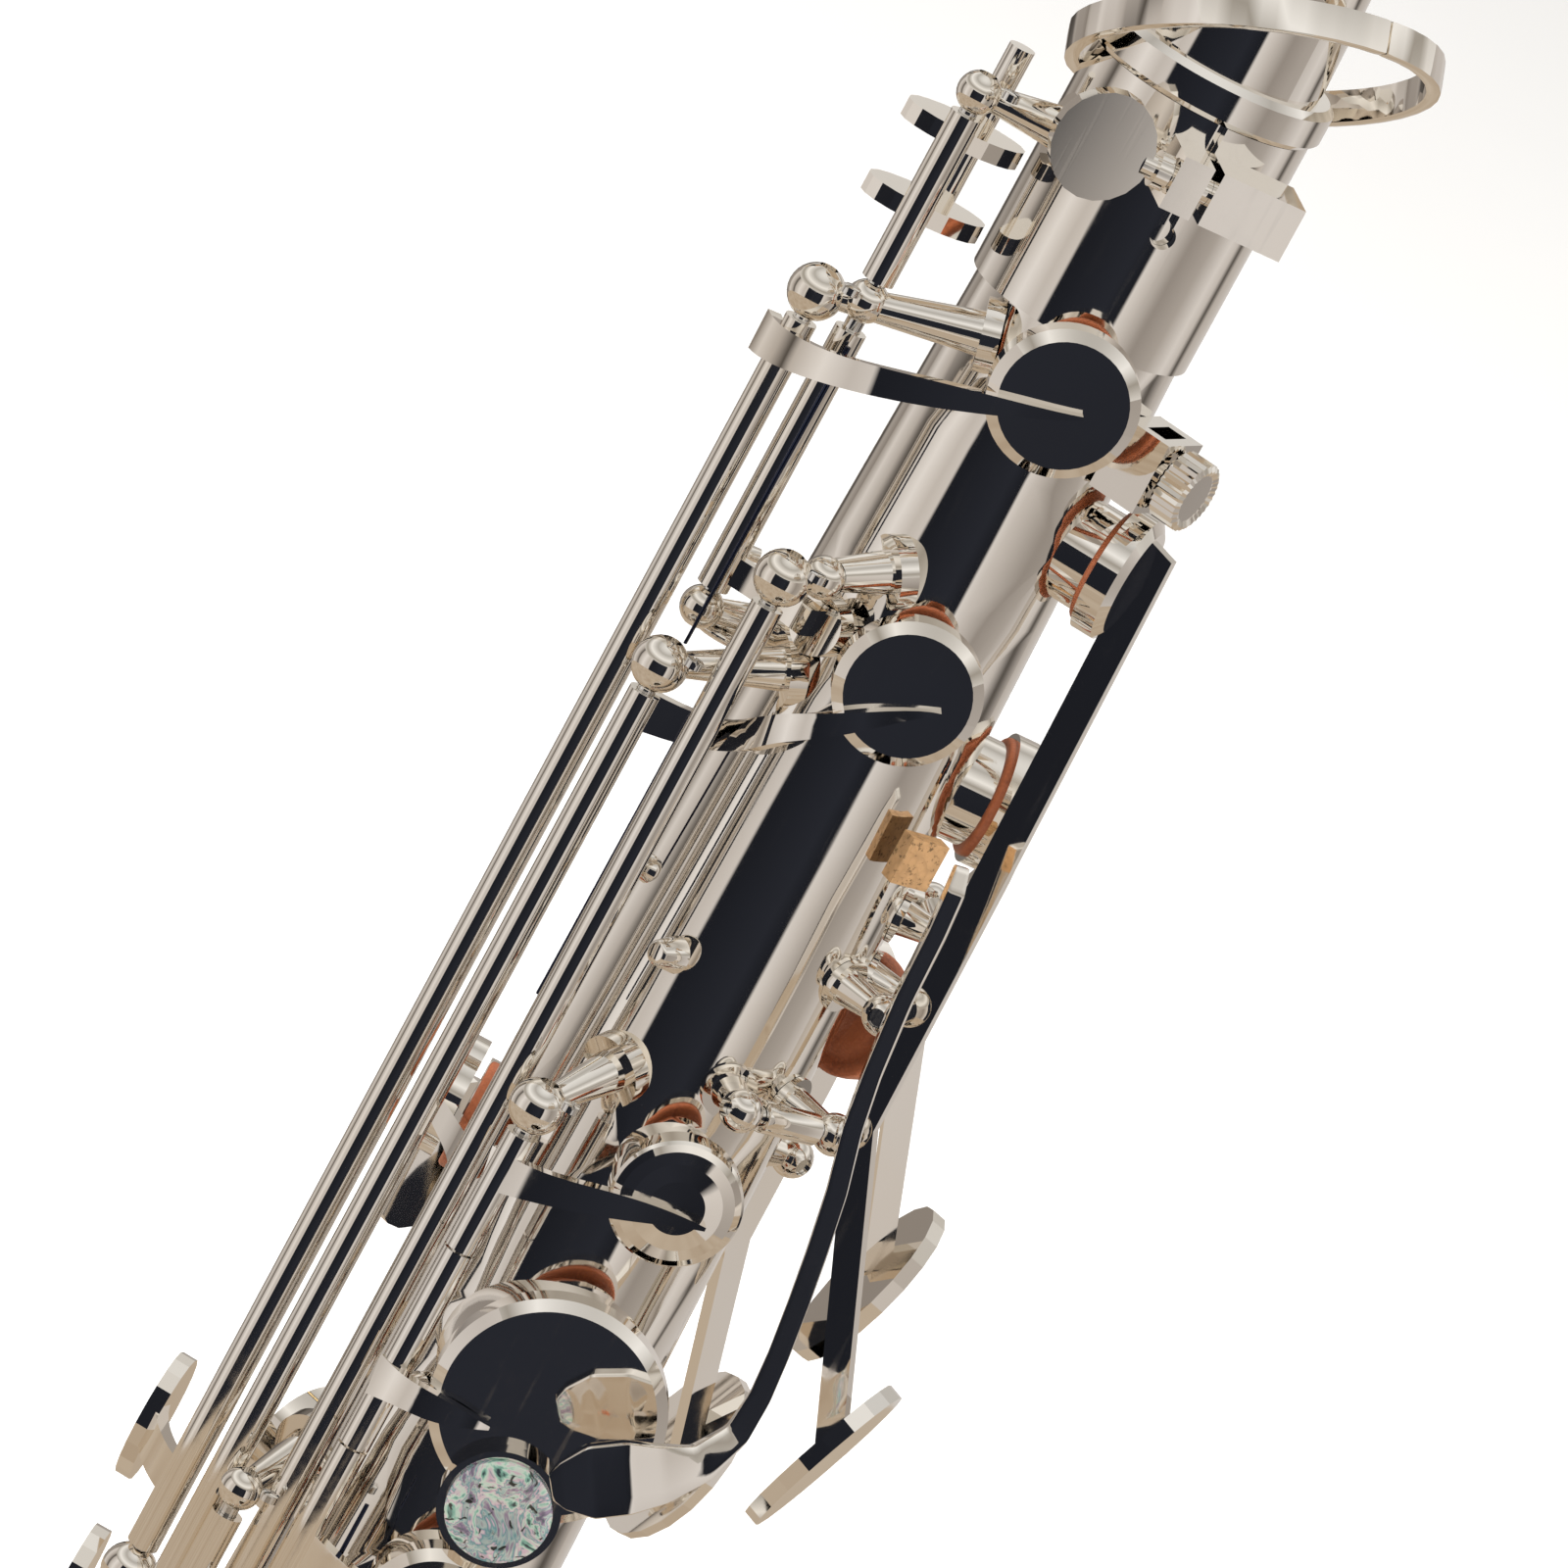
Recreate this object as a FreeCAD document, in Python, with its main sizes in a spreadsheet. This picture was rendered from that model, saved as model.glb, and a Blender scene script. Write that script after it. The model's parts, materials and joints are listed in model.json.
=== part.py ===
import FreeCAD, Part
import math
import os
import Sketcher
from FreeCAD import Placement, Rotation, Vector

# Alto saxophone with a high F sharp key, silver plated.
#
# Bench frame: the body tube stands on Z with the body to bow joint at z = 0, and
# azimuths are counted about the tube from the row of stack keys towards the
# player's left.  Every sub-part is then set into the part's own frame, where the
# bell faces -Y and the origin is the middle of the strap ring's hole.

doc = FreeCAD.newDocument("Saxophone")
sheet = doc.addObject("Spreadsheet::Sheet", "Sizes")

SIZES = {
    # body tube: a long cone that widens downwards
    "tube_length": 448.0,
    "tube_top_radius": 12.85,
    "tube_taper": 0.0272,
    "tube_wall": 0.7,
    "stack_turn": -30.0,
    # socket for the neck, with its clamp
    "receiver_radius": 13.75,
    "receiver_height": 30.0,
    "receiver_step": 4.0,
    "slot_width": 1.2,
    "slot_depth": 14.5,
    "keyhole_radius": 1.5,
    "clamp_height": 6.6,
    "clamp_drop": 6.5,
    "clamp_distance": 18.4,
    "clamp_left_length": 3.8,
    "clamp_right_length": 10.5,
    "screw_radius": 1.5,
    "screw_fit": 0.06,
    "screw_left": 8.0,
    "screw_right": 10.0,
    "paddle_length": 12.0,
    "paddle_height": 13.0,
    "paddle_thickness": 2.2,
    # tone holes
    "chimney_wall": 0.8,
    "small_rise": 2.6,
    "large_rise": 2.4,
    # key cups and pads
    "cup_height": 3.7,
    "cup_bevel": 1.3,
    "cup_bevel_height": 0.9,
    "cup_wall": 0.7,
    "cup_dome": 1.6,
    "pad_thickness": 3.2,
    "pad_stand_out": 0.8,
    "pad_gap": 0.1,
    "pad_overlap": 2.4,
    "pearl_radius": 6.3,
    "pearl_rim": 1.0,
    "pearl_height": 2.4,
    "pearl_fit": 0.05,
    # hinges
    "hinge_radius": 1.95,
    "rod_radius": 1.1,
    "rod_fit": 0.05,
    "end_play": 0.15,
    "ball_radius": 3.4,
    "small_ball_radius": 2.6,
    "post_foot_radius": 4.4,
    "post_foot_height": 1.0,
    "post_waist_radius": 1.5,
    # key arms
    "arm_width": 3.4,
    "arm_thickness": 1.7,
    "blade_thickness": 1.8,
    "touch_thickness": 2.0,
    # bow and bell
    "bow_radius": 46.0,
    "bow_sweep": 177.0,
    "bell_foot_radius": 31.0,
    "bell_wall": 0.8,
    "bell_height": 208.0,
    "bell_rim_radius": 61.5,
    "bell_rim_bead": 1.6,
    "ring_band_height": 12.0,
    "ring_band_thickness": 1.6,
    # neck and mouthpiece
    "tenon_radius": 12.2,
    "tenon_length": 25.0,
    "tenon_fit": 0.05,
    "collar_radius": 14.6,
    "collar_height": 5.0,
    "neck_wall": 0.8,
    "neck_rise": 16.0,
    "neck_bend_radius": 42.0,
    "neck_turn": 104.0,
    "neck_run": 78.0,
    "neck_tip_radius": 7.0,
    "cork_length": 26.0,
    "cork_thickness": 1.3,
    "cork_fit": 0.06,
    "mouthpiece_length": 88.0,
    "mouthpiece_overlap": 16.0,
    "mouthpiece_radius": 12.5,
    # strap ring, thumb rests, lyre holder
    "strap_ring_z": 205.0,
    "strap_ring_stand": 13.0,
    "strap_hole_radius": 5.0,
    "strap_ring_wire": 1.8,
    "strap_ring_thickness": 3.2,
    "hook_z": 128.0,
    "lyre_z": 437.6,
    "lyre_azimuth": 50.0,
    # octave mechanism
    "vent_azimuth": -48.0,
    "vent_z": 404.8,
    "vent_pip_radius": 2.2,
    "vent_bore": 1.1,
    "vent_rim": 15.9,
    "vent_cup_radius": 3.6,
    "vent_tube_low": 401.8,
    "vent_tube_high": 436.2,
    "pin_tube_low": 442.8,
    "pin_tube_high": 464.7,
    "pin_plate_low": 451.6,
    "pin_plate_high": 461.4,
    "pin_height": 21.0,
    "thumb_low": 298.0,
    "thumb_high": 330.0,
    # front F lever and palm keys
    "front_f_azimuth": 22.0,
    "front_f_hinge_r": 20.2,
    "front_f_hinge_z": 350.0,
    "front_f_left": -3.85,
    "front_f_right": 10.2,
    "front_f_bar_width": 4.2,
    "front_f_touch_length": 24.0,
    "front_f_touch_width": 15.0,
    "front_f_opens": 3.0,
    "palm_hinge": 5.0,
    "palm_touch_lean": 18.0,
    # bell keys, brace, neck octave key
    "bell_line_y": 41.0,
    "bell_rise": 3.0,
    "bell_chimney_root": 14.0,
    "brace_z": 97.7,
    "brace_ring_radius": 11.0,
    "loop_height": 10.0,
    "loop_low_azimuth": -107.0,
    "loop_lean": 26.0,
    "loop_radius": 18.6,
    "loop_width": 4.0,
    "loop_thickness": 1.7,
    "rest_z": 276.0,
}

# Keys that close a tone hole on the tube: place of the hole and radius of the cup.
# "hinge" names the hinge line, "spread" the stretch of it that the key turns on,
# "opens" how far the key turns, and "rest_open" whether it stands open at rest.
HINGES = {
    "trill_line": (-84.0, 30.0),
    "high_e_line": (-72.5, 28.0),
    "octave_line": (-80.0, 24.8),
    "side_line": (-55.0, 25.0),
    "stack_line": (-42.0, 26.5),
    "lower_line": (-44.0, 31.0),
    "g_sharp_line": (62.0, 29.0),
    "low_right_line": (-64.0, 33.0),
    "side_b_line": (-62.5, 28.6),
    "thumb_line": (-172.0, 23.5),
}

KEYS = {
    "high_f_sharp": dict(z=442.4, azimuth=-7.7, cup=8.85, hinge="trill_line",
                         low=265.0, high=434.6, opens=5.0, rest_open=0),
    "high_e": dict(z=404.0, azimuth=-7.2, cup=8.75, hinge="high_e_line",
                   low=240.0, high=388.2, opens=5.0, rest_open=0),
    "side_c": dict(z=329.0, azimuth=-106.0, cup=7.6, hinge="side_line",
                   low=214.0, high=405.2, opens=6.5, rest_open=0),
    "side_b_flat": dict(z=218.0, azimuth=-106.0, cup=9.0, hinge="side_b_line",
                        low=192.0, high=276.8, opens=6.5, rest_open=0),
    "c_vent": dict(z=338.0, azimuth=4.0, cup=7.9, hinge="stack_line",
                   low=321.0, high=336.8, opens=8.0, rest_open=1),
    "b": dict(z=308.6, azimuth=0.0, cup=14.0, hinge="stack_line",
              low=293.5, high=320.7, opens=9.0, rest_open=1),
    "bis": dict(z=279.4, azimuth=0.0, cup=9.2, hinge="stack_line",
                low=268.5, high=293.2, opens=9.0, rest_open=1),
    "a": dict(z=252.0, azimuth=0.0, cup=13.0, hinge="stack_line",
              low=238.0, high=261.5, opens=9.0, rest_open=1),
    "g": dict(z=221.5, azimuth=0.0, cup=14.5, hinge="stack_line",
              low=206.5, high=237.7, opens=9.0, rest_open=1),
    "f_sharp": dict(z=185.0, azimuth=0.0, cup=15.3, hinge="lower_line",
                    low=170.0, high=191.4, opens=9.0, rest_open=1),
    "f": dict(z=151.0, azimuth=0.0, cup=16.0, hinge="lower_line",
              low=136.5, high=169.7, opens=9.0, rest_open=1),
    "e": dict(z=115.5, azimuth=0.0, cup=16.5, hinge="lower_line",
              low=100.5, high=129.5, opens=9.0, rest_open=1),
    "d": dict(z=79.0, azimuth=0.0, cup=17.0, hinge="lower_line",
              low=64.0, high=100.2, opens=9.0, rest_open=1),
    "g_sharp": dict(z=203.0, azimuth=98.0, cup=13.0, hinge="g_sharp_line",
                    low=190.0, high=216.0, opens=9.0, rest_open=0),
    "low_e_flat": dict(z=46.0, azimuth=-101.0, cup=14.5, hinge="low_right_line",
                       low=34.3, high=58.0, opens=8.0, rest_open=0),
    "low_c": dict(z=28.0, azimuth=-20.0, cup=17.0, hinge="low_right_line",
                  low=15.0, high=34.0, opens=9.0, rest_open=1),
}

PALM_KEYS = {
    "palm_f": dict(z=424.0, azimuth=62.0, cup=7.9, bar=58.0, hinge_z=366.0, hinge_r=21.0,
                   touch_z=318.0, touch_r=39.0, bar_r=23.4, opens=2.0),
    "palm_e_flat": dict(z=391.0, azimuth=85.0, cup=8.2, bar=92.0, hinge_z=374.0, hinge_r=20.6,
                        touch_z=332.0, touch_r=35.0, bar_r=24.0, opens=5.5),
    "palm_d": dict(z=358.0, azimuth=122.0, cup=8.6, bar=122.0, hinge_z=338.0, hinge_r=21.4,
                   touch_z=296.0, touch_r=36.0, bar_r=25.0, opens=5.0),
}

# Keys on the bell: height along the bell, cup radius and where each hinge line stands.
BELL_KEYS = {
    "low_c_sharp": dict(z=24.0, cup=15.0, line=39.0, top=150.0, opens=7.0, rest_open=0),
    "low_b": dict(z=66.0, cup=17.0, line=31.0, top=150.0, opens=8.0, rest_open=1),
    "low_b_flat": dict(z=112.0, cup=18.0, line=23.0, top=169.0, opens=8.0, rest_open=1),
}


class Size:
    """A number that remembers how it follows from the cells of the sheet."""

    def __init__(self, value, text):
        self.value = float(value)
        self.text = text

    def __float__(self):
        return self.value

    def __add__(self, other):
        other = as_size(other)
        return Size(self.value + other.value, f"({self.text} + {other.text})")

    def __sub__(self, other):
        other = as_size(other)
        return Size(self.value - other.value, f"({self.text} - {other.text})")

    def __mul__(self, other):
        other = as_size(other)
        return Size(self.value * other.value, f"({self.text} * {other.text})")

    def __truediv__(self, other):
        other = as_size(other)
        return Size(self.value / other.value, f"({self.text} / {other.text})")

    __radd__ = __add__
    __rmul__ = __mul__

    def __rsub__(self, other):
        return as_size(other) - self


def as_size(number):
    return number if isinstance(number, Size) else Size(number, repr(float(number)))


class Sheet:
    """Reads the cells of the sheet by name, as Size values."""

    def __getattr__(self, name):
        return Size(sheet.get(name), "Sizes." + name)


def fill_sheet():
    cells = dict(SIZES)
    for name, (azimuth, distance) in HINGES.items():
        cells[name + "_azimuth"] = azimuth
        cells[name + "_distance"] = distance
    for name, key in KEYS.items():
        for word in ("z", "azimuth", "cup", "low", "high", "opens"):
            cells[f"key_{name}_{word}"] = key[word]
    for keys in (PALM_KEYS, BELL_KEYS):
        for name, key in keys.items():
            for word, value in key.items():
                if word != "rest_open":
                    cells[f"key_{name}_{word}"] = value
    for row, (name, value) in enumerate(cells.items(), start=1):
        sheet.set(f"A{row}", name)
        sheet.set(f"B{row}", str(value))
        sheet.setAlias(f"B{row}", name)
    doc.recompute()


fill_sheet()
size = Sheet()
made = []
joints = []


# ---------------------------------------------------------------- geometry

def rad(angle):
    return math.radians(float(angle))


def outward(azimuth):
    """The direction away from the tube's axis at an azimuth."""
    turned = rad(azimuth) + rad(size.stack_turn)
    return Vector(math.sin(turned), -math.cos(turned), 0)


def sideways(azimuth):
    """The direction round the tube, towards larger azimuths."""
    turned = rad(azimuth) + rad(size.stack_turn)
    return Vector(math.cos(turned), math.sin(turned), 0)


def at(azimuth, distance, z, along=0.0):
    """A point by azimuth, distance from the axis, height and sideways offset."""
    flat = outward(azimuth) * float(distance) + sideways(azimuth) * float(along)
    return flat + Vector(0, 0, float(z))


def facing(azimuth):
    """Local Z points outward, local X sideways and local Y up."""
    return Rotation(sideways(azimuth), Vector(0, 0, 1), outward(azimuth), "ZXY")


def standing(azimuth):
    """Local X points outward, local Y sideways and local Z up."""
    return Rotation(outward(azimuth), sideways(azimuth), Vector(0, 0, 1), "ZXY")


def across(azimuth):
    """Local Z points sideways, for a pin that lies across the tube."""
    return Rotation(Vector(0, 0, 1), outward(azimuth), sideways(azimuth), "ZXY")


def tube_radius(z):
    return size.tube_top_radius + (size.tube_length - z) * size.tube_taper


def bind(thing, **sizes):
    for name, value in sizes.items():
        value = as_size(value)
        setattr(thing, name, value.value)
        thing.setExpression(name, value.text)
    return thing


def cylinder(name, radius, height, place):
    thing = bind(doc.addObject("Part::Cylinder", name), Radius=radius, Height=height)
    thing.Placement = place
    return thing


def cone(name, radius, top_radius, height, place):
    thing = doc.addObject("Part::Cone", name)
    bind(thing, Radius1=radius, Radius2=top_radius, Height=height)
    thing.Placement = place
    return thing


def ball(name, radius, centre):
    thing = bind(doc.addObject("Part::Sphere", name), Radius=radius)
    thing.Placement = Placement(centre, Rotation())
    return thing


def box(name, length, width, height, centre, turn):
    """A box about its own centre."""
    thing = bind(doc.addObject("Part::Box", name), Length=length, Width=width, Height=height)
    half = Vector(float(length) / 2, float(width) / 2, float(height) / 2)
    thing.Placement = Placement(centre - turn.multVec(half), turn)
    return thing


def fuse(name, things):
    whole = doc.addObject("Part::MultiFuse", name)
    whole.Shapes = things
    return whole


def cut(name, base, tools):
    whole = doc.addObject("Part::Cut", name)
    whole.Base = base
    whole.Tool = tools[0] if len(tools) == 1 else fuse(name + "_tools", tools)
    return whole


def group(name, things):
    whole = doc.addObject("Part::Compound", name)
    whole.Links = things
    return whole


def shaped(name, shape):
    thing = doc.addObject("Part::Feature", name)
    thing.Shape = shape
    return thing


def turned(name, outline, place):
    """A body turned about its local Z from a closed outline of radii and heights."""
    body = doc.addObject("PartDesign::Body", name)
    plane = [f for f in body.Origin.OriginFeatures if f.Role == "XZ_Plane"][0]
    sketch = body.newObject("Sketcher::SketchObject", name + "_outline")
    sketch.AttachmentSupport = [(plane, "")]
    sketch.MapMode = "FlatFace"
    points = [Vector(float(radius), float(height), 0) for radius, height in outline]
    count = len(points)
    for i in range(count):
        sketch.addGeometry(Part.LineSegment(points[i], points[(i + 1) % count]), False)
    for i in range(count):
        sketch.addConstraint(Sketcher.Constraint("Coincident", i, 2, (i + 1) % count, 1))
    for i, (radius, height) in enumerate(outline):
        for kind, value in (("DistanceX", radius), ("DistanceY", height)):
            value = as_size(value)
            row = sketch.addConstraint(Sketcher.Constraint(kind, -1, 1, i, 1, value.value))
            sketch.setExpression(f"Constraints[{row}]", value.text)
    turn = body.newObject("PartDesign::Revolution", name + "_turn")
    turn.Profile = sketch
    turn.ReferenceAxis = (sketch, ["V_Axis"])
    turn.Angle = 360
    body.Placement = place
    return body


def plate(name, outline, thickness, place):
    """A flat plate, its outline in local X and Y, its thickness centred on local Z."""
    body = doc.addObject("PartDesign::Body", name)
    plane = [f for f in body.Origin.OriginFeatures if f.Role == "XY_Plane"][0]
    sketch = body.newObject("Sketcher::SketchObject", name + "_outline")
    sketch.AttachmentSupport = [(plane, "")]
    sketch.MapMode = "FlatFace"
    points = [Vector(float(x), float(y), 0) for x, y in outline]
    count = len(points)
    for i in range(count):
        sketch.addGeometry(Part.LineSegment(points[i], points[(i + 1) % count]), False)
    for i in range(count):
        sketch.addConstraint(Sketcher.Constraint("Coincident", i, 2, (i + 1) % count, 1))
    pad = body.newObject("PartDesign::Pad", name + "_pad")
    pad.Profile = sketch
    pad.Midplane = True
    bind(pad, Length=thickness)
    body.Placement = place
    return body


def ribbon(name, points, width, thickness, upright):
    """A flat bar bent along points; its width stays along the upright direction."""
    curve = Part.BSplineCurve()
    curve.interpolate(points)
    start = curve.tangent(curve.FirstParameter)[0]
    side = upright.cross(start)
    side.normalize()
    up = start.cross(side)
    half_up = up * (float(width) / 2)
    half_side = side * (float(thickness) / 2)
    corners = [points[0] + half_up * i + half_side * j for i, j in ((1, 1), (1, -1), (-1, -1), (-1, 1))]
    shell = Part.BRepOffsetAPI.MakePipeShell(Part.Wire([curve.toShape()]))
    shell.setBiNormalMode(upright)
    shell.add(Part.makePolygon(corners + corners[:1]))
    shell.build()
    shell.makeSolid()
    return shaped(name, shell.shape())


def tapered_bar(name, points, widths, thickness, upright):
    """A flat bar along points whose width, on the upright side, changes evenly along it."""
    curve = Part.BSplineCurve()
    curve.interpolate(points)
    first = curve.FirstParameter
    span = curve.LastParameter - first
    sections = []
    for i, width in enumerate(widths):
        place = first + span * i / (len(widths) - 1)
        middle = curve.value(place)
        along = curve.tangent(place)[0]
        side = upright.cross(along)
        side.normalize()
        up = along.cross(side)
        half_up = up * (float(width) / 2)
        half_side = side * (float(thickness) / 2)
        corners = [middle + half_up * j + half_side * k for j, k in ((1, 1), (1, -1), (-1, -1), (-1, 1))]
        sections.append(Part.makePolygon(corners + corners[:1]))
    return shaped(name, Part.makeLoft(sections, True, False))


# ---------------------------------------------------------------- the part's own frame

ring_distance = tube_radius(size.strap_ring_z) + size.strap_ring_stand
back = Size(180, "180") - size.stack_turn
front = Size(0, "0") - size.stack_turn
origin = at(back, ring_distance, size.strap_ring_z)
own_frame = Placement(Vector(0, 0, 0) - origin, Rotation())


def sub_part(label, thing, swing=None):
    """Names a finished sub-part and sets it into the part's own frame."""
    thing.Label = label
    placed = own_frame
    if swing is not None:
        placed = own_frame.multiply(swing)
    thing.Placement = placed.multiply(thing.Placement)
    made.append((label, thing))
    return thing


def swing_about(point, axis, angle):
    return Placement(Vector(0, 0, 0), Rotation(axis, angle), point)


def hinge_note(label, point, axis, opens, closes):
    """Keeps a hinge line, in the part's own frame, with its limits in degrees."""
    place = point - origin
    joints.append((label, place, axis, float(opens), float(closes)))


# ---------------------------------------------------------------- small pieces

def cup_heights(z, rise):
    rim = tube_radius(z) + rise
    pad_face = rim + size.pad_gap
    cup_face = pad_face + size.pad_stand_out
    return rim, pad_face, cup_face


# The rounded top of a domed cup: shares of its radius and of its rise.
DOME = ((0.96, 0.28), (0.86, 0.55), (0.68, 0.79), (0.42, 0.94), (0.0, 1.0))


def key_cup(name, azimuth, z, radius, rise, domed=False):
    """A flat cup with a bevelled edge, or a domed one, hollow below for its pad."""
    cup_face = cup_heights(z, rise)[2]
    seat = size.pad_thickness - size.pad_stand_out
    shoulder = size.cup_height - size.cup_bevel_height
    outline = [
        (0, seat),
        (radius - size.cup_wall, seat),
        (radius - size.cup_wall, 0),
        (radius, 0),
        (radius, shoulder),
    ]
    if domed:
        outline += [(radius * across, shoulder + size.cup_dome * up) for across, up in DOME]
    else:
        outline.append((radius - size.cup_bevel, size.cup_height))
        outline.append((0, size.cup_height))
    return turned(name, outline, Placement(at(azimuth, cup_face, z), facing(azimuth)))


def key_pad(name, azimuth, z, radius, rise):
    pad_face = cup_heights(z, rise)[1]
    place = Placement(at(azimuth, pad_face, z), facing(azimuth))
    return cylinder(name, radius - size.cup_wall - size.pearl_fit, size.pad_thickness, place)


def cup_top(z, rise):
    return cup_heights(z, rise)[2] + size.cup_height


def chimney(name, azimuth, z, radius, rise):
    """The outside and the bore of a tone hole that stands on the tube."""
    bore = radius - size.pad_overlap
    rim = cup_heights(z, rise)[0]
    inner = tube_radius(z) * 0.5
    place = Placement(at(azimuth, inner, z), facing(azimuth))
    outside = cylinder(name + "_chimney", bore + size.chimney_wall, rim - inner, place)
    axis_place = Placement(at(azimuth, 0, z), facing(azimuth))
    opening = cylinder(name + "_bore", bore, rim + 2, axis_place)
    return outside, opening


def post(name, foot, tip, end_radius, inner_centre=None):
    """A turned post: a round foot, a tapering shaft and a ball that holds the hinge."""
    way = tip - foot
    length = way.Length
    turn = Rotation(Vector(0, 0, 1), way)
    waist = size.post_waist_radius
    pieces = [
        cylinder(name + "_foot", size.post_foot_radius, size.post_foot_height + 1.2,
                 Placement(foot - way * (1.2 / length), turn)),
        cone(name + "_shaft", size.post_foot_radius * 0.62, waist, length - end_radius * 0.6,
             Placement(foot, turn)),
        ball(name + "_ball", end_radius, tip),
    ]
    if inner_centre is not None:
        pieces.append(ball(name + "_inner_ball", size.small_ball_radius, inner_centre))
    return pieces


def along_line(name, z):
    """A point of a hinge line at a height."""
    azimuth, distance = hinge_line(name)
    return at(azimuth, distance, z)


def hinge_line(name):
    return getattr(size, name + "_azimuth"), getattr(size, name + "_distance")


def upright_tube(name, line, low, high):
    place = Placement(along_line(line, low), Rotation())
    return cylinder(name, size.hinge_radius, high - low, place)


def upright_drill(name, line, low, high):
    place = Placement(along_line(line, low - 1), Rotation())
    return cylinder(name, size.rod_radius + size.rod_fit, high - low + 2, place)


def oval(length, width, count=20):
    """Points round an ellipse."""
    steps = [2 * math.pi * i / count for i in range(count)]
    return [(float(length) / 2 * math.cos(a), float(width) / 2 * math.sin(a)) for a in steps]


def key_size(name, word):
    return getattr(size, f"key_{name}_{word}")


def rise_of(name):
    small = float(key_size(name, "cup")) < 10.0
    return size.small_rise if small else size.large_rise


# ---------------------------------------------------------------- body tube

def build_body_tube():
    outside = [cone("tube_outside", tube_radius(0), size.tube_top_radius, size.tube_length, Placement())]
    inside = [cone("tube_inside", tube_radius(0) - size.tube_wall,
                   size.tube_top_radius - size.tube_wall, size.tube_length, Placement())]
    for name in list(KEYS) + list(PALM_KEYS):
        wall, bore = chimney(name, key_size(name, "azimuth"), key_size(name, "z"),
                             key_size(name, "cup"), rise_of(name))
        outside.append(wall)
        inside.append(bore)
    place = Placement(at(size.vent_azimuth, 0, size.vent_z), facing(size.vent_azimuth))
    outside.append(cylinder("vent_pip", size.vent_pip_radius, size.vent_rim, place))
    inside.append(cylinder("vent_pip_bore", size.vent_bore, size.vent_rim + 1, place))
    sub_part("body_tube", cut("body_tube_shell", fuse("body_tube_outside", outside), inside))


def build_receiver():
    bottom = size.tube_length
    radius = size.receiver_radius
    bore = size.tenon_radius + size.tenon_fit
    outline = [
        (size.tube_top_radius - size.tube_wall, bottom),
        (radius, bottom),
        (radius, bottom + size.receiver_height),
        (bore, bottom + size.receiver_height),
        (bore, bottom + size.receiver_step),
        (size.tube_top_radius - size.tube_wall, bottom + size.receiver_step),
    ]
    socket = turned("receiver_socket", outline, Placement())
    top = bottom + size.receiver_height
    z = top - size.clamp_drop
    half = size.slot_width / 2
    depth = size.clamp_distance + 2.6 - bore - 0.4
    middle = bore + 0.4 + depth / 2
    left = box("left_lug", depth, size.clamp_left_length, size.clamp_height,
               at(0, middle, z, 0 - half - size.clamp_left_length / 2), standing(0))
    right = box("right_lug", depth, size.clamp_right_length, size.clamp_height,
                at(0, middle, z, half + size.clamp_right_length / 2), standing(0))
    slot = box("clamp_slot", 12, size.slot_width, size.slot_depth + 2,
               at(0, size.clamp_distance - 3, top + 1 - size.slot_depth / 2), standing(0))
    keyhole = cylinder("keyhole", size.keyhole_radius, 12,
                       Placement(at(0, 8, top - size.slot_depth), facing(0)))
    drill = cylinder("clamp_drill", size.screw_radius + size.screw_fit, 30,
                     Placement(at(0, size.clamp_distance, z, -15), across(0)))
    room = cylinder("receiver_room", bore, size.receiver_height,
                    Placement(Vector(0, 0, float(bottom + size.receiver_step)), Rotation()))
    whole = fuse("receiver_whole", [socket, left, right])
    hole = chimney("receiver_f_sharp", key_size("high_f_sharp", "azimuth"), key_size("high_f_sharp", "z"),
                   key_size("high_f_sharp", "cup"), rise_of("high_f_sharp"))[0]
    sub_part("neck_receiver", cut("receiver_cut", whole, [slot, keyhole, drill, room, hole]))


def build_clamp_screw():
    top = size.tube_length + size.receiver_height
    z = top - size.clamp_drop
    start = at(0, size.clamp_distance, z, 0 - size.screw_left)
    shank = cylinder("clamp_shank", size.screw_radius, size.screw_left + size.screw_right,
                     Placement(start, across(0)))
    shoulder = cylinder("clamp_shoulder", 2.2, 1.6,
                        Placement(at(0, size.clamp_distance, z, -6.3), across(0)))
    middle = at(0, size.clamp_distance, z, 0 - size.screw_left - size.paddle_length / 2 + 1.0)
    paddle = plate("paddle", oval(size.paddle_length, size.paddle_height), size.paddle_thickness,
                   Placement(middle, facing(0)))
    sub_part("clamp_screw", fuse("clamp_screw_whole", [shank, shoulder, paddle]))
    hinge_note("clamp_screw", at(0, size.clamp_distance, z), sideways(0), 20, -20)


# ---------------------------------------------------------------- keys on lines along the tube

# Arms that don't run straight over to their cups: azimuth, distance and height of their points.
ARMS = {
    "high_f_sharp": [(-91, 32.0, 430.6), (-70, 29.6, 432.5), (-36, 23.4, 438.0), (-18, 21.3, 440.3),
                     (-1, 20.9, 442.4)],
    "high_e": [(-75, 28.2, 385.8), (-66, 23.0, 386.6), (-55, 20.3, 388.2), (-40, 21.1, 392.2),
               (-25, 22.4, 396.8), (-12, 21.9, 400.6), (4, 22.0, 404.0)],
    "side_c": [(-56, 25.0, 329.0), (-78, 22.0, 329.0), (-94, 22.6, 329.0), (-107, 23.4, 329.0)],
    "side_b_flat": [(-65, 28.2, 218.0), (-84, 26.6, 218.0), (-107, 26.6, 218.0)],
    "c_vent": [(-45, 27.2, 331.4), (-22, 25.6, 334.2), (-6, 24.5, 336.2), (13, 24.5, 337.6)],
    "b": [(-44, 27.6, 302.6), (-28, 27.4, 303.6), (-13, 24.9, 304.4)],
}


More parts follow.
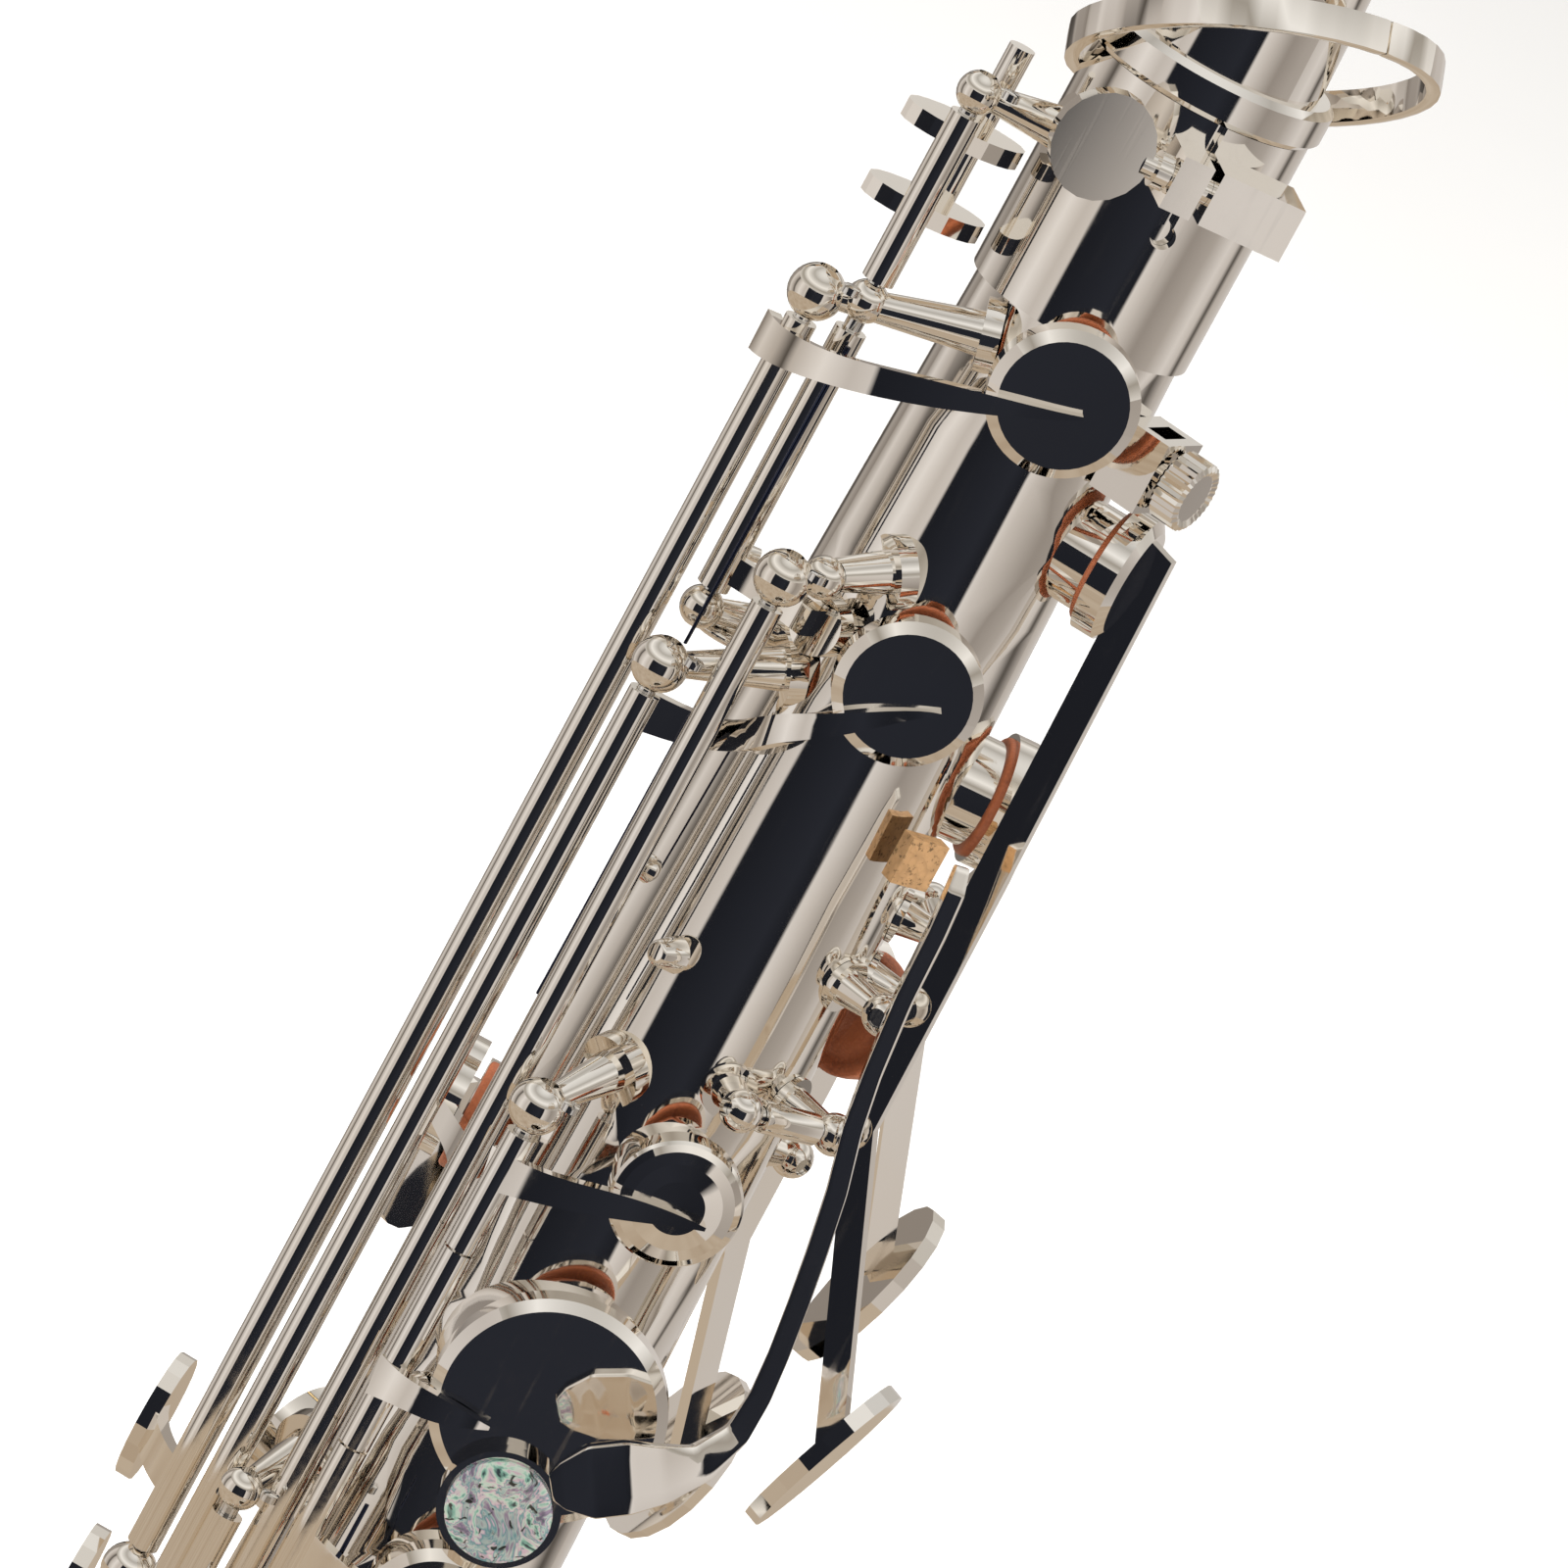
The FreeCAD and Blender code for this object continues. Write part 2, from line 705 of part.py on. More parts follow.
def build_key(name):
    z = key_size(name, "z")
    azimuth = key_size(name, "azimuth")
    radius = key_size(name, "cup")
    line = KEYS[name]["hinge"]
    low = key_size(name, "low")
    high = key_size(name, "high")
    top = cup_top(z, rise_of(name))
    line_azimuth, line_distance = hinge_line(line)
    pieces = [
        upright_tube(name + "_tube", line, low, high),
        key_cup(name + "_cup", azimuth, z, radius, rise_of(name), name in DOMED),
    ]
    if name in ARMS:
        route = [at(a, r, h) for a, r, h in ARMS[name]]
    else:
        reach = float(azimuth) - float(line_azimuth)
        side = 1 if reach > 0 else -1
        half_way = float(azimuth) - side * math.degrees(float(radius) / float(top)) * 0.86
        tip = float(azimuth) + side * 3.0
        route = [
            at(line_azimuth, line_distance, z),
            at((float(line_azimuth) * 0.45 + half_way * 0.55), (line_distance + top) * 0.5 + 0.9, z),
            at(half_way, top * 1.09, z),
            at(tip, top + 0.55, z),
        ]
    widths = [size.arm_width * share for share in ARM_TAPER]
    pieces.append(tapered_bar(name + "_arm", route, widths, size.arm_thickness, Vector(0, 0, 1)))
    if name in TOUCHES:
        pieces += touch_pieces(name, line)
    if name in PEARLS:
        pieces.append(pearl_holder(name, top))
    whole = fuse(name + "_whole", pieces)
    drills = [upright_drill(name + "_drill", line, low, high)]
    if name in PEARLS:
        drills.append(pearl_seat(name, top))
    key = cut(name + "_key", whole, drills)
    side = 1 if float(azimuth) > float(line_azimuth) else -1
    opens = key_size(name, "opens")
    pivot = along_line(line, (low + high) / 2)
    up = Vector(0, 0, -float(side))
    swing = swing_about(pivot, up, 0)
    if KEYS[name]["rest_open"]:
        swing = swing_about(pivot, up, float(opens))
        hinge_note("key_" + name, pivot, up, 0, 0 - opens)
    else:
        hinge_note("key_" + name, pivot, up, opens, 0)
    sub_part("key_" + name, key, swing)
    if name in PADS:
        pad = key_pad(name + "_leather", azimuth, z, radius, rise_of(name))
        sub_part("pad_" + name, pad, swing)
    if name in PEARLS:
        sub_part("pearl_" + name, pearl(name, top), swing)


# Widths along an arm from the hinge to its pointed tip, as shares of the arm's width.
ARM_TAPER = (1.5, 1.22, 1.06, 0.98, 0.82, 0.52, 0.14)

DOMED = ("c_vent",)
PADS = ("high_f_sharp", "high_e", "c_vent", "b", "bis")
PEARLS = {"b": -12.4, "bis": 0.0, "a": 0.0, "g": 0.0, "f": 0.0, "e": 0.0, "d": 0.0}

# Plates for the fingers: azimuth, distance and height of the middle, length and width.
TOUCHES = {
    "high_f_sharp": (-114, 34.0, 274.0, 17.0, 11.0),
    "high_e": (-110, 33.0, 250.0, 18.0, 12.0),
    "side_c": (-44, 36.0, 224.0, 18.0, 11.0),
    "side_b_flat": (-42, 38.5, 201.0, 19.0, 11.0),
    "g_sharp": (44, 34.0, 203.0, 20.0, 12.0),
    "low_e_flat": (-40, 42.0, 48.0, 12.0, 20.0),
    "low_c": (-40, 42.0, 24.0, 15.0, 20.0),
}


def touch_pieces(name, line):
    """A rounded finger plate on an arm from the hinge tube."""
    azimuth, distance, z, length, width = TOUCHES[name]
    face = Placement(at(azimuth, distance, z), facing(azimuth))
    finger = plate(name + "_touch", oval(width, length), size.touch_thickness, face)
    start = along_line(line, z)
    end = at(azimuth, distance, z)
    middle = (start + end) * 0.5 + outward(azimuth) * 1.6
    arm = ribbon(name + "_touch_arm", [start, middle, end], size.arm_width * 1.4,
                 size.arm_thickness, Vector(0, 0, 1))
    return [finger, arm]


def pearl_place(name, top, lift):
    z = key_size(name, "z") + PEARLS[name]
    return Placement(at(key_size(name, "azimuth"), top + lift, z), facing(key_size(name, "azimuth")))


def pearl_holder(name, top):
    return cylinder(name + "_pearl_holder", size.pearl_radius + size.pearl_rim,
                    size.pearl_height + 0.3, pearl_place(name, top, -0.3))


def pearl_seat(name, top):
    return cylinder(name + "_pearl_seat", size.pearl_radius + size.pearl_fit, 12,
                    pearl_place(name, top, 0.8))


def pearl(name, top):
    return cylinder(name + "_pearl", size.pearl_radius, size.pearl_height, pearl_place(name, top, 0.8))


# ---------------------------------------------------------------- palm keys and front F

def build_palm_key(name):
    z = key_size(name, "z")
    azimuth = key_size(name, "azimuth")
    bar = key_size(name, "bar")
    top = cup_top(z, rise_of(name))
    hinge_z = key_size(name, "hinge_z")
    hinge_r = key_size(name, "hinge_r")
    bar_r = key_size(name, "bar_r")
    touch_z = key_size(name, "touch_z")
    touch_r = key_size(name, "touch_r")
    outline = [
        (top - 0.4, z + 6),
        (top + 3.2, z + 5),
        (bar_r + 1.8, hinge_z + 8),
        (bar_r + 2.2, hinge_z - 14),
        (touch_r + 1.4, touch_z),
        (touch_r - 1.4, touch_z - 2),
        (bar_r - 1.6, hinge_z - 14),
        (hinge_r - 0.8, hinge_z - 2),
        (hinge_r - 0.8, hinge_z + 2),
        (bar_r - 2.0, hinge_z + 8),
        (top - 0.4, z - 4),
    ]
    # the blade's outline lies in the plane through the tube's axis: local X outward, local Y up
    upright = Rotation(outward(bar), Vector(0, 0, 1), sideways(bar) * -1, "ZXY")
    blade = plate(name + "_blade", outline, size.blade_thickness, Placement(Vector(), upright))
    tube = cylinder(name + "_tube", size.hinge_radius, size.palm_hinge,
                    Placement(at(bar, hinge_r, hinge_z, 0 - size.palm_hinge / 2), across(bar)))
    drill = cylinder(name + "_drill", size.rod_radius + size.rod_fit, size.palm_hinge + 2,
                     Placement(at(bar, hinge_r, hinge_z, 0 - size.palm_hinge / 2 - 1), across(bar)))
    lean = Rotation(sideways(bar), size.palm_touch_lean.value)
    middle = at(bar, touch_r, touch_z - 3)
    finger = plate(name + "_touch", oval(13, 24), size.touch_thickness,
                   Placement(middle, lean.multiply(facing(bar))))
    cup = key_cup(name + "_cup", azimuth, z, key_size(name, "cup"), rise_of(name))
    key = cut(name + "_key", fuse(name + "_whole", [blade, tube, finger, cup]), [drill])
    sub_part("key_" + name, key)
    if name in PALM_PADS:
        pad = key_pad(name + "_leather", azimuth, z, key_size(name, "cup"), rise_of(name))
        sub_part("pad_" + name, pad)
    hinge_note("key_" + name, at(bar, hinge_r, hinge_z), sideways(bar), key_size(name, "opens"), 0)


PALM_PADS = ("palm_f", "palm_e_flat")


def build_front_f():
    """The front F lever: a cork-tipped ribbon over a short cross hinge, down to a teardrop touch."""
    azimuth = size.front_f_azimuth
    hinge_r = size.front_f_hinge_r
    hinge_z = size.front_f_hinge_z
    left = size.front_f_left + size.small_ball_radius + size.end_play
    right = size.front_f_right - size.small_ball_radius - size.end_play * 4
    tube = cylinder("front_f_tube", size.hinge_radius, right - left,
                    Placement(at(azimuth, hinge_r, hinge_z, left), across(azimuth)))
    drill = cylinder("front_f_drill", size.rod_radius + size.rod_fit, right - left + 2,
                     Placement(at(azimuth, hinge_r, hinge_z, left - 1), across(azimuth)))
    route = [
        at(azimuth, 20.6, 385.5, 3.4),
        at(azimuth, 21.0, 370.0, 3.4),
        at(azimuth, 23.4, 352.0, 4.6),
        at(azimuth, 27.6, 334.0, 6.4),
        at(azimuth, 32.4, 318.0, 5.6),
        at(azimuth, 35.0, 309.5, 0.8),
        at(azimuth, 35.4, 307.8, -5.4),
    ]
    bar = ribbon("front_f_bar", route, size.front_f_bar_width, size.blade_thickness,
                 outward(azimuth))
    saddle = box("front_f_saddle", 4.6, 4.0, 3.4, at(azimuth, hinge_r + 1.6, hinge_z, 5.2), standing(azimuth))
    finger = plate("front_f_touch", teardrop(size.front_f_touch_length, size.front_f_touch_width),
                   size.touch_thickness, Placement(at(azimuth, 35.4, 307.2, -7.0), facing(azimuth)))
    key = cut("front_f_key", fuse("front_f_whole", [tube, bar, saddle, finger]), [drill])
    sub_part("key_front_f", key)
    cork = box("front_f_cork_block", 2.2, 5.4, 6.0, at(azimuth, 17.3, 384.5, 3.4), standing(azimuth))
    sub_part("front_f_cork", cork)
    hinge_note("key_front_f", at(azimuth, hinge_r, hinge_z), sideways(azimuth), size.front_f_opens, 0)


def teardrop(length, width):
    """A round end with straight sides that run to a narrow neck at the right."""
    radius = float(width) / 2
    reach = float(length) - radius
    lean = math.acos(radius / reach)
    points = []
    for i in range(15):
        angle = lean + (2 * math.pi - 2 * lean) * i / 14
        points.append((radius * math.cos(angle), radius * math.sin(angle)))
    points.append((reach, 0))
    return points


# ---------------------------------------------------------------- octave mechanism

def build_octave():
    line = "octave_line"
    vent = Placement(at(size.vent_azimuth, size.vent_rim + size.pad_gap, size.vent_z),
                     facing(size.vent_azimuth))
    tube = upright_tube("vent_tube", line, size.vent_tube_low, size.vent_tube_high)
    cup = cylinder("vent_cup", size.vent_cup_radius, 2.6, vent)
    route = [at(-79, 24.6, 404.8), at(-66, 20.4, 404.8), at(-49, 19.3, 404.8)]
    arm = ribbon("vent_arm", route, size.arm_width, size.arm_thickness, Vector(0, 0, 1))
    drill = upright_drill("vent_drill", line, size.vent_tube_low, size.vent_tube_high)
    sub_part("octave_vent_key", cut("vent_key", fuse("vent_whole", [tube, cup, arm]), [drill]))
    pivot = along_line(line, size.vent_z)
    hinge_note("octave_vent_key", pivot, Vector(0, 0, -1), 7, 0)

    tube = upright_tube("pin_tube", line, size.pin_tube_low, size.pin_tube_high)
    plates = []
    for label, z in (("upper", size.pin_plate_high), ("lower", size.pin_plate_low)):
        middle = at(-92, 22.4, z)
        plates.append(plate(f"pin_plate_{label}", oval(15, 8.5), 2.2, Placement(middle, standing(-92))))
    pin = cylinder("pin", 1.6, size.pin_height, Placement(at(-101, 20.4, size.pin_plate_low), Rotation()))
    drill = upright_drill("pin_drill", line, size.pin_tube_low, size.pin_tube_high)
    whole = fuse("pin_whole", [tube, pin] + plates)
    sub_part("octave_pin_lever", cut("pin_lever", whole, [drill]))
    hinge_note("octave_pin_lever", along_line(line, size.pin_plate_low), Vector(0, 0, 1), 9, 0)

    line = "thumb_line"
    tube = upright_tube("thumb_tube", line, size.thumb_low, size.thumb_high)
    finger = plate("thumb_touch", oval(15, 21), 2.0, Placement(at(-146, 25.5, 316), facing(-146)))
    route = [along_line(line, 312), at(-162, 26.0, 312), at(-150, 25.8, 312)]
    arm = ribbon("thumb_arm", route, 5.0, size.arm_thickness, Vector(0, 0, 1))
    drill = upright_drill("thumb_drill", line, size.thumb_low, size.thumb_high)
    sub_part("octave_thumb_lever", cut("thumb_lever", fuse("thumb_whole", [tube, finger, arm]), [drill]))
    hinge_note("octave_thumb_lever", along_line(line, 315), Vector(0, 0, 1), 0, -9)


# ---------------------------------------------------------------- posts, rods and springs

# Balls of each hinge line: height, azimuth and height of the foot, and ball size.
POSTS = [
    ("trill_line", 438.3, -56.0, 443.0, "large", ("octave_line", 440.0)),
    ("trill_line", 261.3, -70.0, 261.3, "large", None),
    ("high_e_line", 391.9, -62.0, 397.0, "large", None),
    ("high_e_line", 237.2, -92.0, 237.2, "small", None),
    ("octave_line", 467.6, -74.0, 467.6, "small", None),
    ("octave_line", 399.0, -86.0, 399.0, "small", None),
    ("side_line", 408.9, -36.5, 414.0, "large", ("stack_line", 410.8)),
    ("side_line", 210.9, -60.0, 210.9, "small", None),
    ("side_b_line", 280.3, -84.0, 284.0, "small", None),
    ("side_b_line", 188.3, -66.0, 188.3, "large", None),
    ("stack_line", 340.6, -37.5, 346.0, "large", None),
    ("stack_line", 265.0, -34.0, 265.0, "large", None),
    ("stack_line", 203.0, -36.0, 203.0, "large", None),
    ("thumb_line", 332.9, -172.0, 332.9, "small", None),
    ("thumb_line", 295.1, -172.0, 295.1, "small", None),
]

LOWER_POSTS = [
    ("lower_line", 195.0, -50.0, 196.5, "large", None),
    ("lower_line", 133.1, -40.0, 133.1, "large", None),
    ("lower_line", 60.4, -40.0, 60.4, "large", None),
    ("g_sharp_line", 219.7, 62.0, 219.7, "large", None),
    ("g_sharp_line", 186.3, 62.0, 186.3, "large", None),
    ("low_right_line", 61.7, -64.0, 61.7, "large", None),
    ("low_right_line", 11.3, -64.0, 11.3, "large", None),
]


def post_on_tube(name, line, z, foot_azimuth, foot_z, end, inner):
    """A post with its hinge holes, its foot shaped to the tube."""
    radius = size.ball_radius if end == "large" else size.small_ball_radius
    foot = at(foot_azimuth, tube_radius(foot_z) - 0.3, foot_z)
    if foot_z > float(size.tube_length):
        foot = at(foot_azimuth, size.receiver_radius - 0.3, foot_z)
    inner_centre = None
    drills = [rod_drill(name, line, z), room_inside(name)]
    if inner is not None:
        inner_line, inner_z = inner
        inner_centre = along_line(inner_line, inner_z)
        if inner_line == "stack_line":
            inner_centre = at(INNER_BALL[0], INNER_BALL[1], inner_z)
        else:
            drills.append(rod_drill(name + "_inner", inner_line, inner_z))
    pieces = post(name, foot, along_line(line, z), radius, inner_centre)
    return cut(name + "_drilled", fuse(name + "_whole", pieces), drills)


# The plain inner ball of the side key's top post: azimuth and distance.
INNER_BALL = (-49.0, 21.4)


def rod_drill(name, line, z):
    return cylinder(name + "_drill", size.rod_radius + size.rod_fit, 24,
                    Placement(along_line(line, z - 12), Rotation()))


ROD_LINES = [
    ("trill_line", 259.0, 440.6),
    ("high_e_line", 234.0, 394.2),
    ("octave_line", 397.4, 469.2),
    ("side_line", 208.0, 411.2),
    ("side_b_line", 186.0, 281.9),
    ("stack_line", 200.8, 342.8),
    ("thumb_line", 293.5, 334.5),
    ("lower_line", 58.2, 197.2),
    ("g_sharp_line", 184.2, 221.8),
    ("low_right_line", 9.2, 63.8),
]


def cross_posts(name, azimuth, distance, z, left, right, radius):
    """Two short posts that carry a hinge lying across the tube."""
    posts = []
    for side, along in (("left", left), ("right", right)):
        tip = at(azimuth, distance, z, along)
        turn = float(azimuth) + math.degrees(math.atan2(float(along), float(distance)))
        foot = at(turn, tube_radius(z) - 0.3, z)
        way = tip - foot
        pieces = [
            cylinder(f"{name}_{side}_foot", 3.4, 1.8, Placement(foot - outward(turn) * 0.9, facing(turn))),
            cone(f"{name}_{side}_shaft", 2.4, 1.4, way.Length,
                 Placement(foot, Rotation(Vector(0, 0, 1), way))),
            ball(f"{name}_{side}_ball", radius, tip),
        ]
        drill = cylinder(f"{name}_{side}_drill", size.rod_radius + size.rod_fit, 12,
                         Placement(at(azimuth, distance, z, float(along) - 6), across(azimuth)))
        room = room_inside(f"{name}_{side}")
        posts.append(cut(f"{name}_{side}_drilled", fuse(f"{name}_{side}_whole", pieces), [drill, room]))
    return posts


def build_posts():
    upper = [post_on_tube(f"upper_post_{i}", *row) for i, row in enumerate(POSTS, start=1)]
    upper += cross_posts("front_f_post", size.front_f_azimuth, size.front_f_hinge_r,
                         size.front_f_hinge_z, size.front_f_left, size.front_f_right,
                         size.small_ball_radius)
    reach = size.palm_hinge / 2 + size.end_play + size.small_ball_radius
    for name in PALM_KEYS:
        upper += cross_posts(name + "_post", key_size(name, "bar"), key_size(name, "hinge_r"),
                             key_size(name, "hinge_z"), 0 - reach, reach, size.small_ball_radius)
    sub_part("posts_upper", group("upper_posts", upper))
    lower = [post_on_tube(f"lower_post_{i}", *row) for i, row in enumerate(LOWER_POSTS, start=1)]
    bell_posts, bell_rods = build_bell_fittings()
    sub_part("posts_lower", group("all_lower_posts", lower + [bell_posts]))
    build_rods(bell_rods)


def room_inside(name):
    """The solid cone of the tube and the receiver's cylinder, to trim what is soldered on."""
    base = cone(name + "_room", tube_radius(0), size.tube_top_radius, size.tube_length, Placement())
    top = cylinder(name + "_room_top", size.receiver_radius, size.receiver_height,
                   Placement(Vector(0, 0, float(size.tube_length)), Rotation()))
    return fuse(name + "_room_whole", [base, top])


def build_rods(bell_rods):
    rods = [bell_rods]
    for line, low, high in ROD_LINES:
        rods.append(cylinder(line + "_rod", size.rod_radius, high - low,
                             Placement(along_line(line, low), Rotation())))
    reach = size.front_f_right - size.front_f_left + 2.4
    rods.append(cylinder("front_f_rod", size.rod_radius, reach,
                         Placement(at(size.front_f_azimuth, size.front_f_hinge_r,
                                      size.front_f_hinge_z, size.front_f_left - 1.2),
                                   across(size.front_f_azimuth))))
    for name in PALM_KEYS:
        bar = key_size(name, "bar")
        reach = size.palm_hinge + 4 * size.small_ball_radius * 0.9
        rods.append(cylinder(name + "_rod", size.rod_radius, reach,
                             Placement(at(bar, key_size(name, "hinge_r"), key_size(name, "hinge_z"),
                                          0 - reach / 2), across(bar))))
    sub_part("hinge_rods", group("rods", rods))


# ---------------------------------------------------------------- bow, bell, rings and brace

def bell_frame():
    """Where the bell stands: at the end of the bow, leaning a little outward."""
    sweep = rad(size.bow_sweep)
    bow = float(size.bow_radius)
    distance = bow * (1 - math.cos(sweep))
    drop = -bow * math.sin(sweep)
    turn = Rotation(sideways(front), 180 - size.bow_sweep.value)
    return Placement(at(front, distance, drop), turn.multiply(standing(front)))


def bow_solid(start_radius, end_radius):
    """A tube bent through the bow that widens from the body to the bell."""
    sweep = rad(size.bow_sweep)
    bow = float(size.bow_radius)

    def on_bow(angle):
        return at(front, bow * (1 - math.cos(angle)), -bow * math.sin(angle))

    path = Part.Wire([Part.Arc(on_bow(0), on_bow(sweep / 2), on_bow(sweep)).toShape()])
    middle = (float(start_radius) + float(end_radius)) / 2
    shell = Part.BRepOffsetAPI.MakePipeShell(path)
    for radius, angle in ((start_radius, 0), (middle, sweep / 2), (end_radius, sweep)):
        tangent = outward(front) * math.sin(angle) + Vector(0, 0, -math.cos(angle))
        circle = Part.Circle(on_bow(angle), tangent, float(radius))
        shell.add(Part.Wire([circle.toShape()]))
    shell.build()
    shell.makeSolid()
    return shell.shape()


def build_bow():
    wall = size.bell_wall
    foot = tube_radius(0)
    outside = shaped("bow_outside", bow_solid(foot, size.bell_foot_radius))
    inside = shaped("bow_inside", bow_solid(foot - wall, size.bell_foot_radius - wall))
    sub_part("bow", cut("bow_tube", outside, [inside]))


def bell_radius(height):
    """The bell widens slowly and then flares like a horn."""
    part_way = float(height) / float(size.bell_height)
    growth = float(size.bell_rim_radius) - float(size.bell_foot_radius)
    return float(size.bell_foot_radius) + growth * (0.30 * part_way + 0.70 * part_way ** 7)


def build_bell():
    frame = bell_frame()
    steps = 12
    heights = [float(size.bell_height) * i / steps for i in range(steps + 1)]
    curve = Part.BSplineCurve()
    curve.interpolate([Vector(bell_radius(height), 0, height) for height in heights])
    inner = Part.BSplineCurve()
    wall = float(size.bell_wall)
    inner.interpolate([Vector(bell_radius(height) - wall, 0, height) for height in heights])
    ends = [
        Part.LineSegment(curve.StartPoint, inner.StartPoint),
        Part.LineSegment(inner.EndPoint, curve.EndPoint),
    ]
    face = Part.Face(Part.Wire([curve.toShape(), ends[1].toShape(), inner.toShape(), ends[0].toShape()]))
    horn = shaped("bell_horn", face.revolve(Vector(), Vector(0, 0, 1), 360))
    bead = doc.addObject("Part::Torus", "bell_bead")
    bind(bead, Radius1=size.bell_rim_radius - size.bell_wall / 2, Radius2=size.bell_rim_bead)
    bead.Placement = Placement(Vector(0, 0, float(size.bell_height)), Rotation())
    walls = [horn, bead]
    bores = []
    for name in BELL_KEYS:
        z = key_size(name, "z")
        bore = key_size(name, "cup") - size.pad_overlap
        crown = bell_radius(z)
        turn = facing_on_bell()
        reach = size.bell_chimney_root + size.bell_rise
        walls.append(cylinder(name + "_chimney", bore + size.chimney_wall, reach,
                              Placement(bell_side(crown - float(size.bell_chimney_root), z), turn)))
        bores.append(cylinder(name + "_bore", bore, crown + 6, Placement(bell_side(0, z), turn)))
    bores.append(shaped("bell_room", bell_room(heights, wall)))
    bell = cut("bell_cut", fuse("bell_whole", walls), bores)
    bell.Placement = frame
    sub_part("bell", bell)


def bell_room(heights, wall):
    """The air inside the bell."""
    inner = Part.BSplineCurve()
    inner.interpolate([Vector(bell_radius(height) - wall, 0, height) for height in heights])
    top = inner.EndPoint
    lines = [
        Part.LineSegment(top, Vector(0, 0, top.z)),
        Part.LineSegment(Vector(0, 0, top.z), Vector(0, 0, 0)),
        Part.LineSegment(Vector(0, 0, 0), inner.StartPoint),
    ]
    wire = Part.Wire([inner.toShape()] + [line.toShape() for line in lines])
    return Part.Face(wire).revolve(Vector(), Vector(0, 0, 1), 360)


def bell_side(distance, z):
    """A point on the bell's key side, in the bell's own frame (local Y is the player's left)."""
    return Vector(0, float(distance), float(z))


def facing_on_bell():
    return Rotation(Vector(0, 0, 1), Vector(1, 0, 0), Vector(0, 1, 0), "ZXY")


def build_bell_key(name):
    """A cup on the side of the bell, a hinge along it and a plate for the little finger."""
    frame = bell_frame()
    key = BELL_KEYS[name]
    z = key_size(name, "z")
    radius = key_size(name, "cup")
    rim = bell_radius(z) + float(size.bell_rise)
    face = rim + float(size.pad_gap) + float(size.pad_stand_out)
    outline = [
        (0, 0 - size.pad_stand_out),
        (radius - size.cup_wall - 0.3, 0 - size.pad_stand_out),
        (radius - size.cup_wall - 0.3, 0),
        (radius, 0),
        (radius, size.cup_height - size.cup_bevel_height),
        (radius - size.cup_bevel, size.cup_height),
        (0, size.cup_height),
    ]
    cup = turned(name + "_cup", outline, Placement(bell_side(face, z), facing_on_bell()))
    line_x = 0 - key_size(name, "line")
    line_y = size.bell_line_y
    top = key_size(name, "top")
    low = z - 8
    place = Placement(Vector(float(line_x), float(line_y), float(low)), Rotation())
    tube = cylinder(name + "_tube", size.hinge_radius, top - low, place)
    drill = cylinder(name + "_drill", size.rod_radius + size.rod_fit, top - low + 2,
                     Placement(place.Base - Vector(0, 0, 1), Rotation()))
    lid = face + float(size.cup_height)
    route = [
        Vector(float(line_x), float(line_y), float(z)),
        Vector((float(line_x) - float(radius)) / 2, (float(line_y) + lid) / 2 + 2.0, float(z)),
        Vector(-float(radius) * 0.6, lid + 1.0, float(z)),
        Vector(2.0, lid + 0.6, float(z)),
    ]
    arm = ribbon(name + "_arm", route, size.arm_width * 1.5, size.arm_thickness, Vector(0, 0, 1))
    opening = key["rest_open"]
    side = -1 if opening else 1
    touch = Vector(float(line_x) - side * 9.0, float(line_y) + 7.0, float(top) - 10)
    finger = plate(name + "_touch", oval(13, 16), size.touch_thickness,
                   Placement(touch, facing_on_bell()))
    start = Vector(float(line_x), float(line_y), float(top) - 10)
    link = ribbon(name + "_touch_arm", [start, (start + touch) * 0.5 + Vector(0, 1, 0), touch],
                  size.arm_width * 1.4, size.arm_thickness, Vector(0, 0, 1))
    solid = cut(name + "_key", fuse(name + "_whole", [cup, tube, arm, finger, link]), [drill])
    solid.Placement = frame
    pivot = frame.multVec(Vector(float(line_x), float(line_y), float(z)))
    axis = frame.Rotation.multVec(Vector(0, 0, 1))
    opens = key_size(name, "opens")
    swing = swing_about(pivot, axis, 0)
    if opening:
        swing = swing_about(pivot, axis, float(opens))
        hinge_note("key_" + name, pivot, axis, 0, 0 - opens)
    else:
        hinge_note("key_" + name, pivot, axis, opens, 0)
    sub_part("key_" + name, solid, swing)


def build_bell_fittings():
    """Posts and rods of the bell keys."""
    frame = bell_frame()
    posts = []
    rods = []
    for name in BELL_KEYS:
        x = 0 - key_size(name, "line")
        y = size.bell_line_y
        top = key_size(name, "top")
        low = key_size(name, "z") - 8
        for label, z in (("top", top + size.ball_radius + size.end_play),
                         ("foot", low - size.ball_radius - size.end_play)):
            tip = Vector(float(x), float(y), float(z))
            direction = Vector(float(x), float(y), 0)
            direction.normalize()
            crown = bell_radius(z) - 0.3
            foot = direction * crown + Vector(0, 0, float(z))
            posts += post(f"{name}_{label}_post", foot, tip, size.ball_radius)
        reach = size.ball_radius * 1.6
        rods.append(cylinder(name + "_rod", size.rod_radius, top - low + reach * 2,
                             Placement(Vector(float(x), float(y), float(low - reach)), Rotation())))
    drills = [cylinder(name + "_post_drill", size.rod_radius + size.rod_fit, 260,
                       Placement(Vector(0 - float(key_size(name, "line")), float(size.bell_line_y), -20),
                                 Rotation())) for name in BELL_KEYS]
    heights = [float(size.bell_height) * i / 12 for i in range(13)]
    drills.append(shaped("bell_post_room", bell_room(heights, 0.0)))
    fittings = cut("bell_posts_cut", fuse("bell_posts_whole", posts), drills)
    fittings.Placement = frame
    pins = group("bell_rods_group", rods)
    pins.Placement = frame
    return fittings, pins


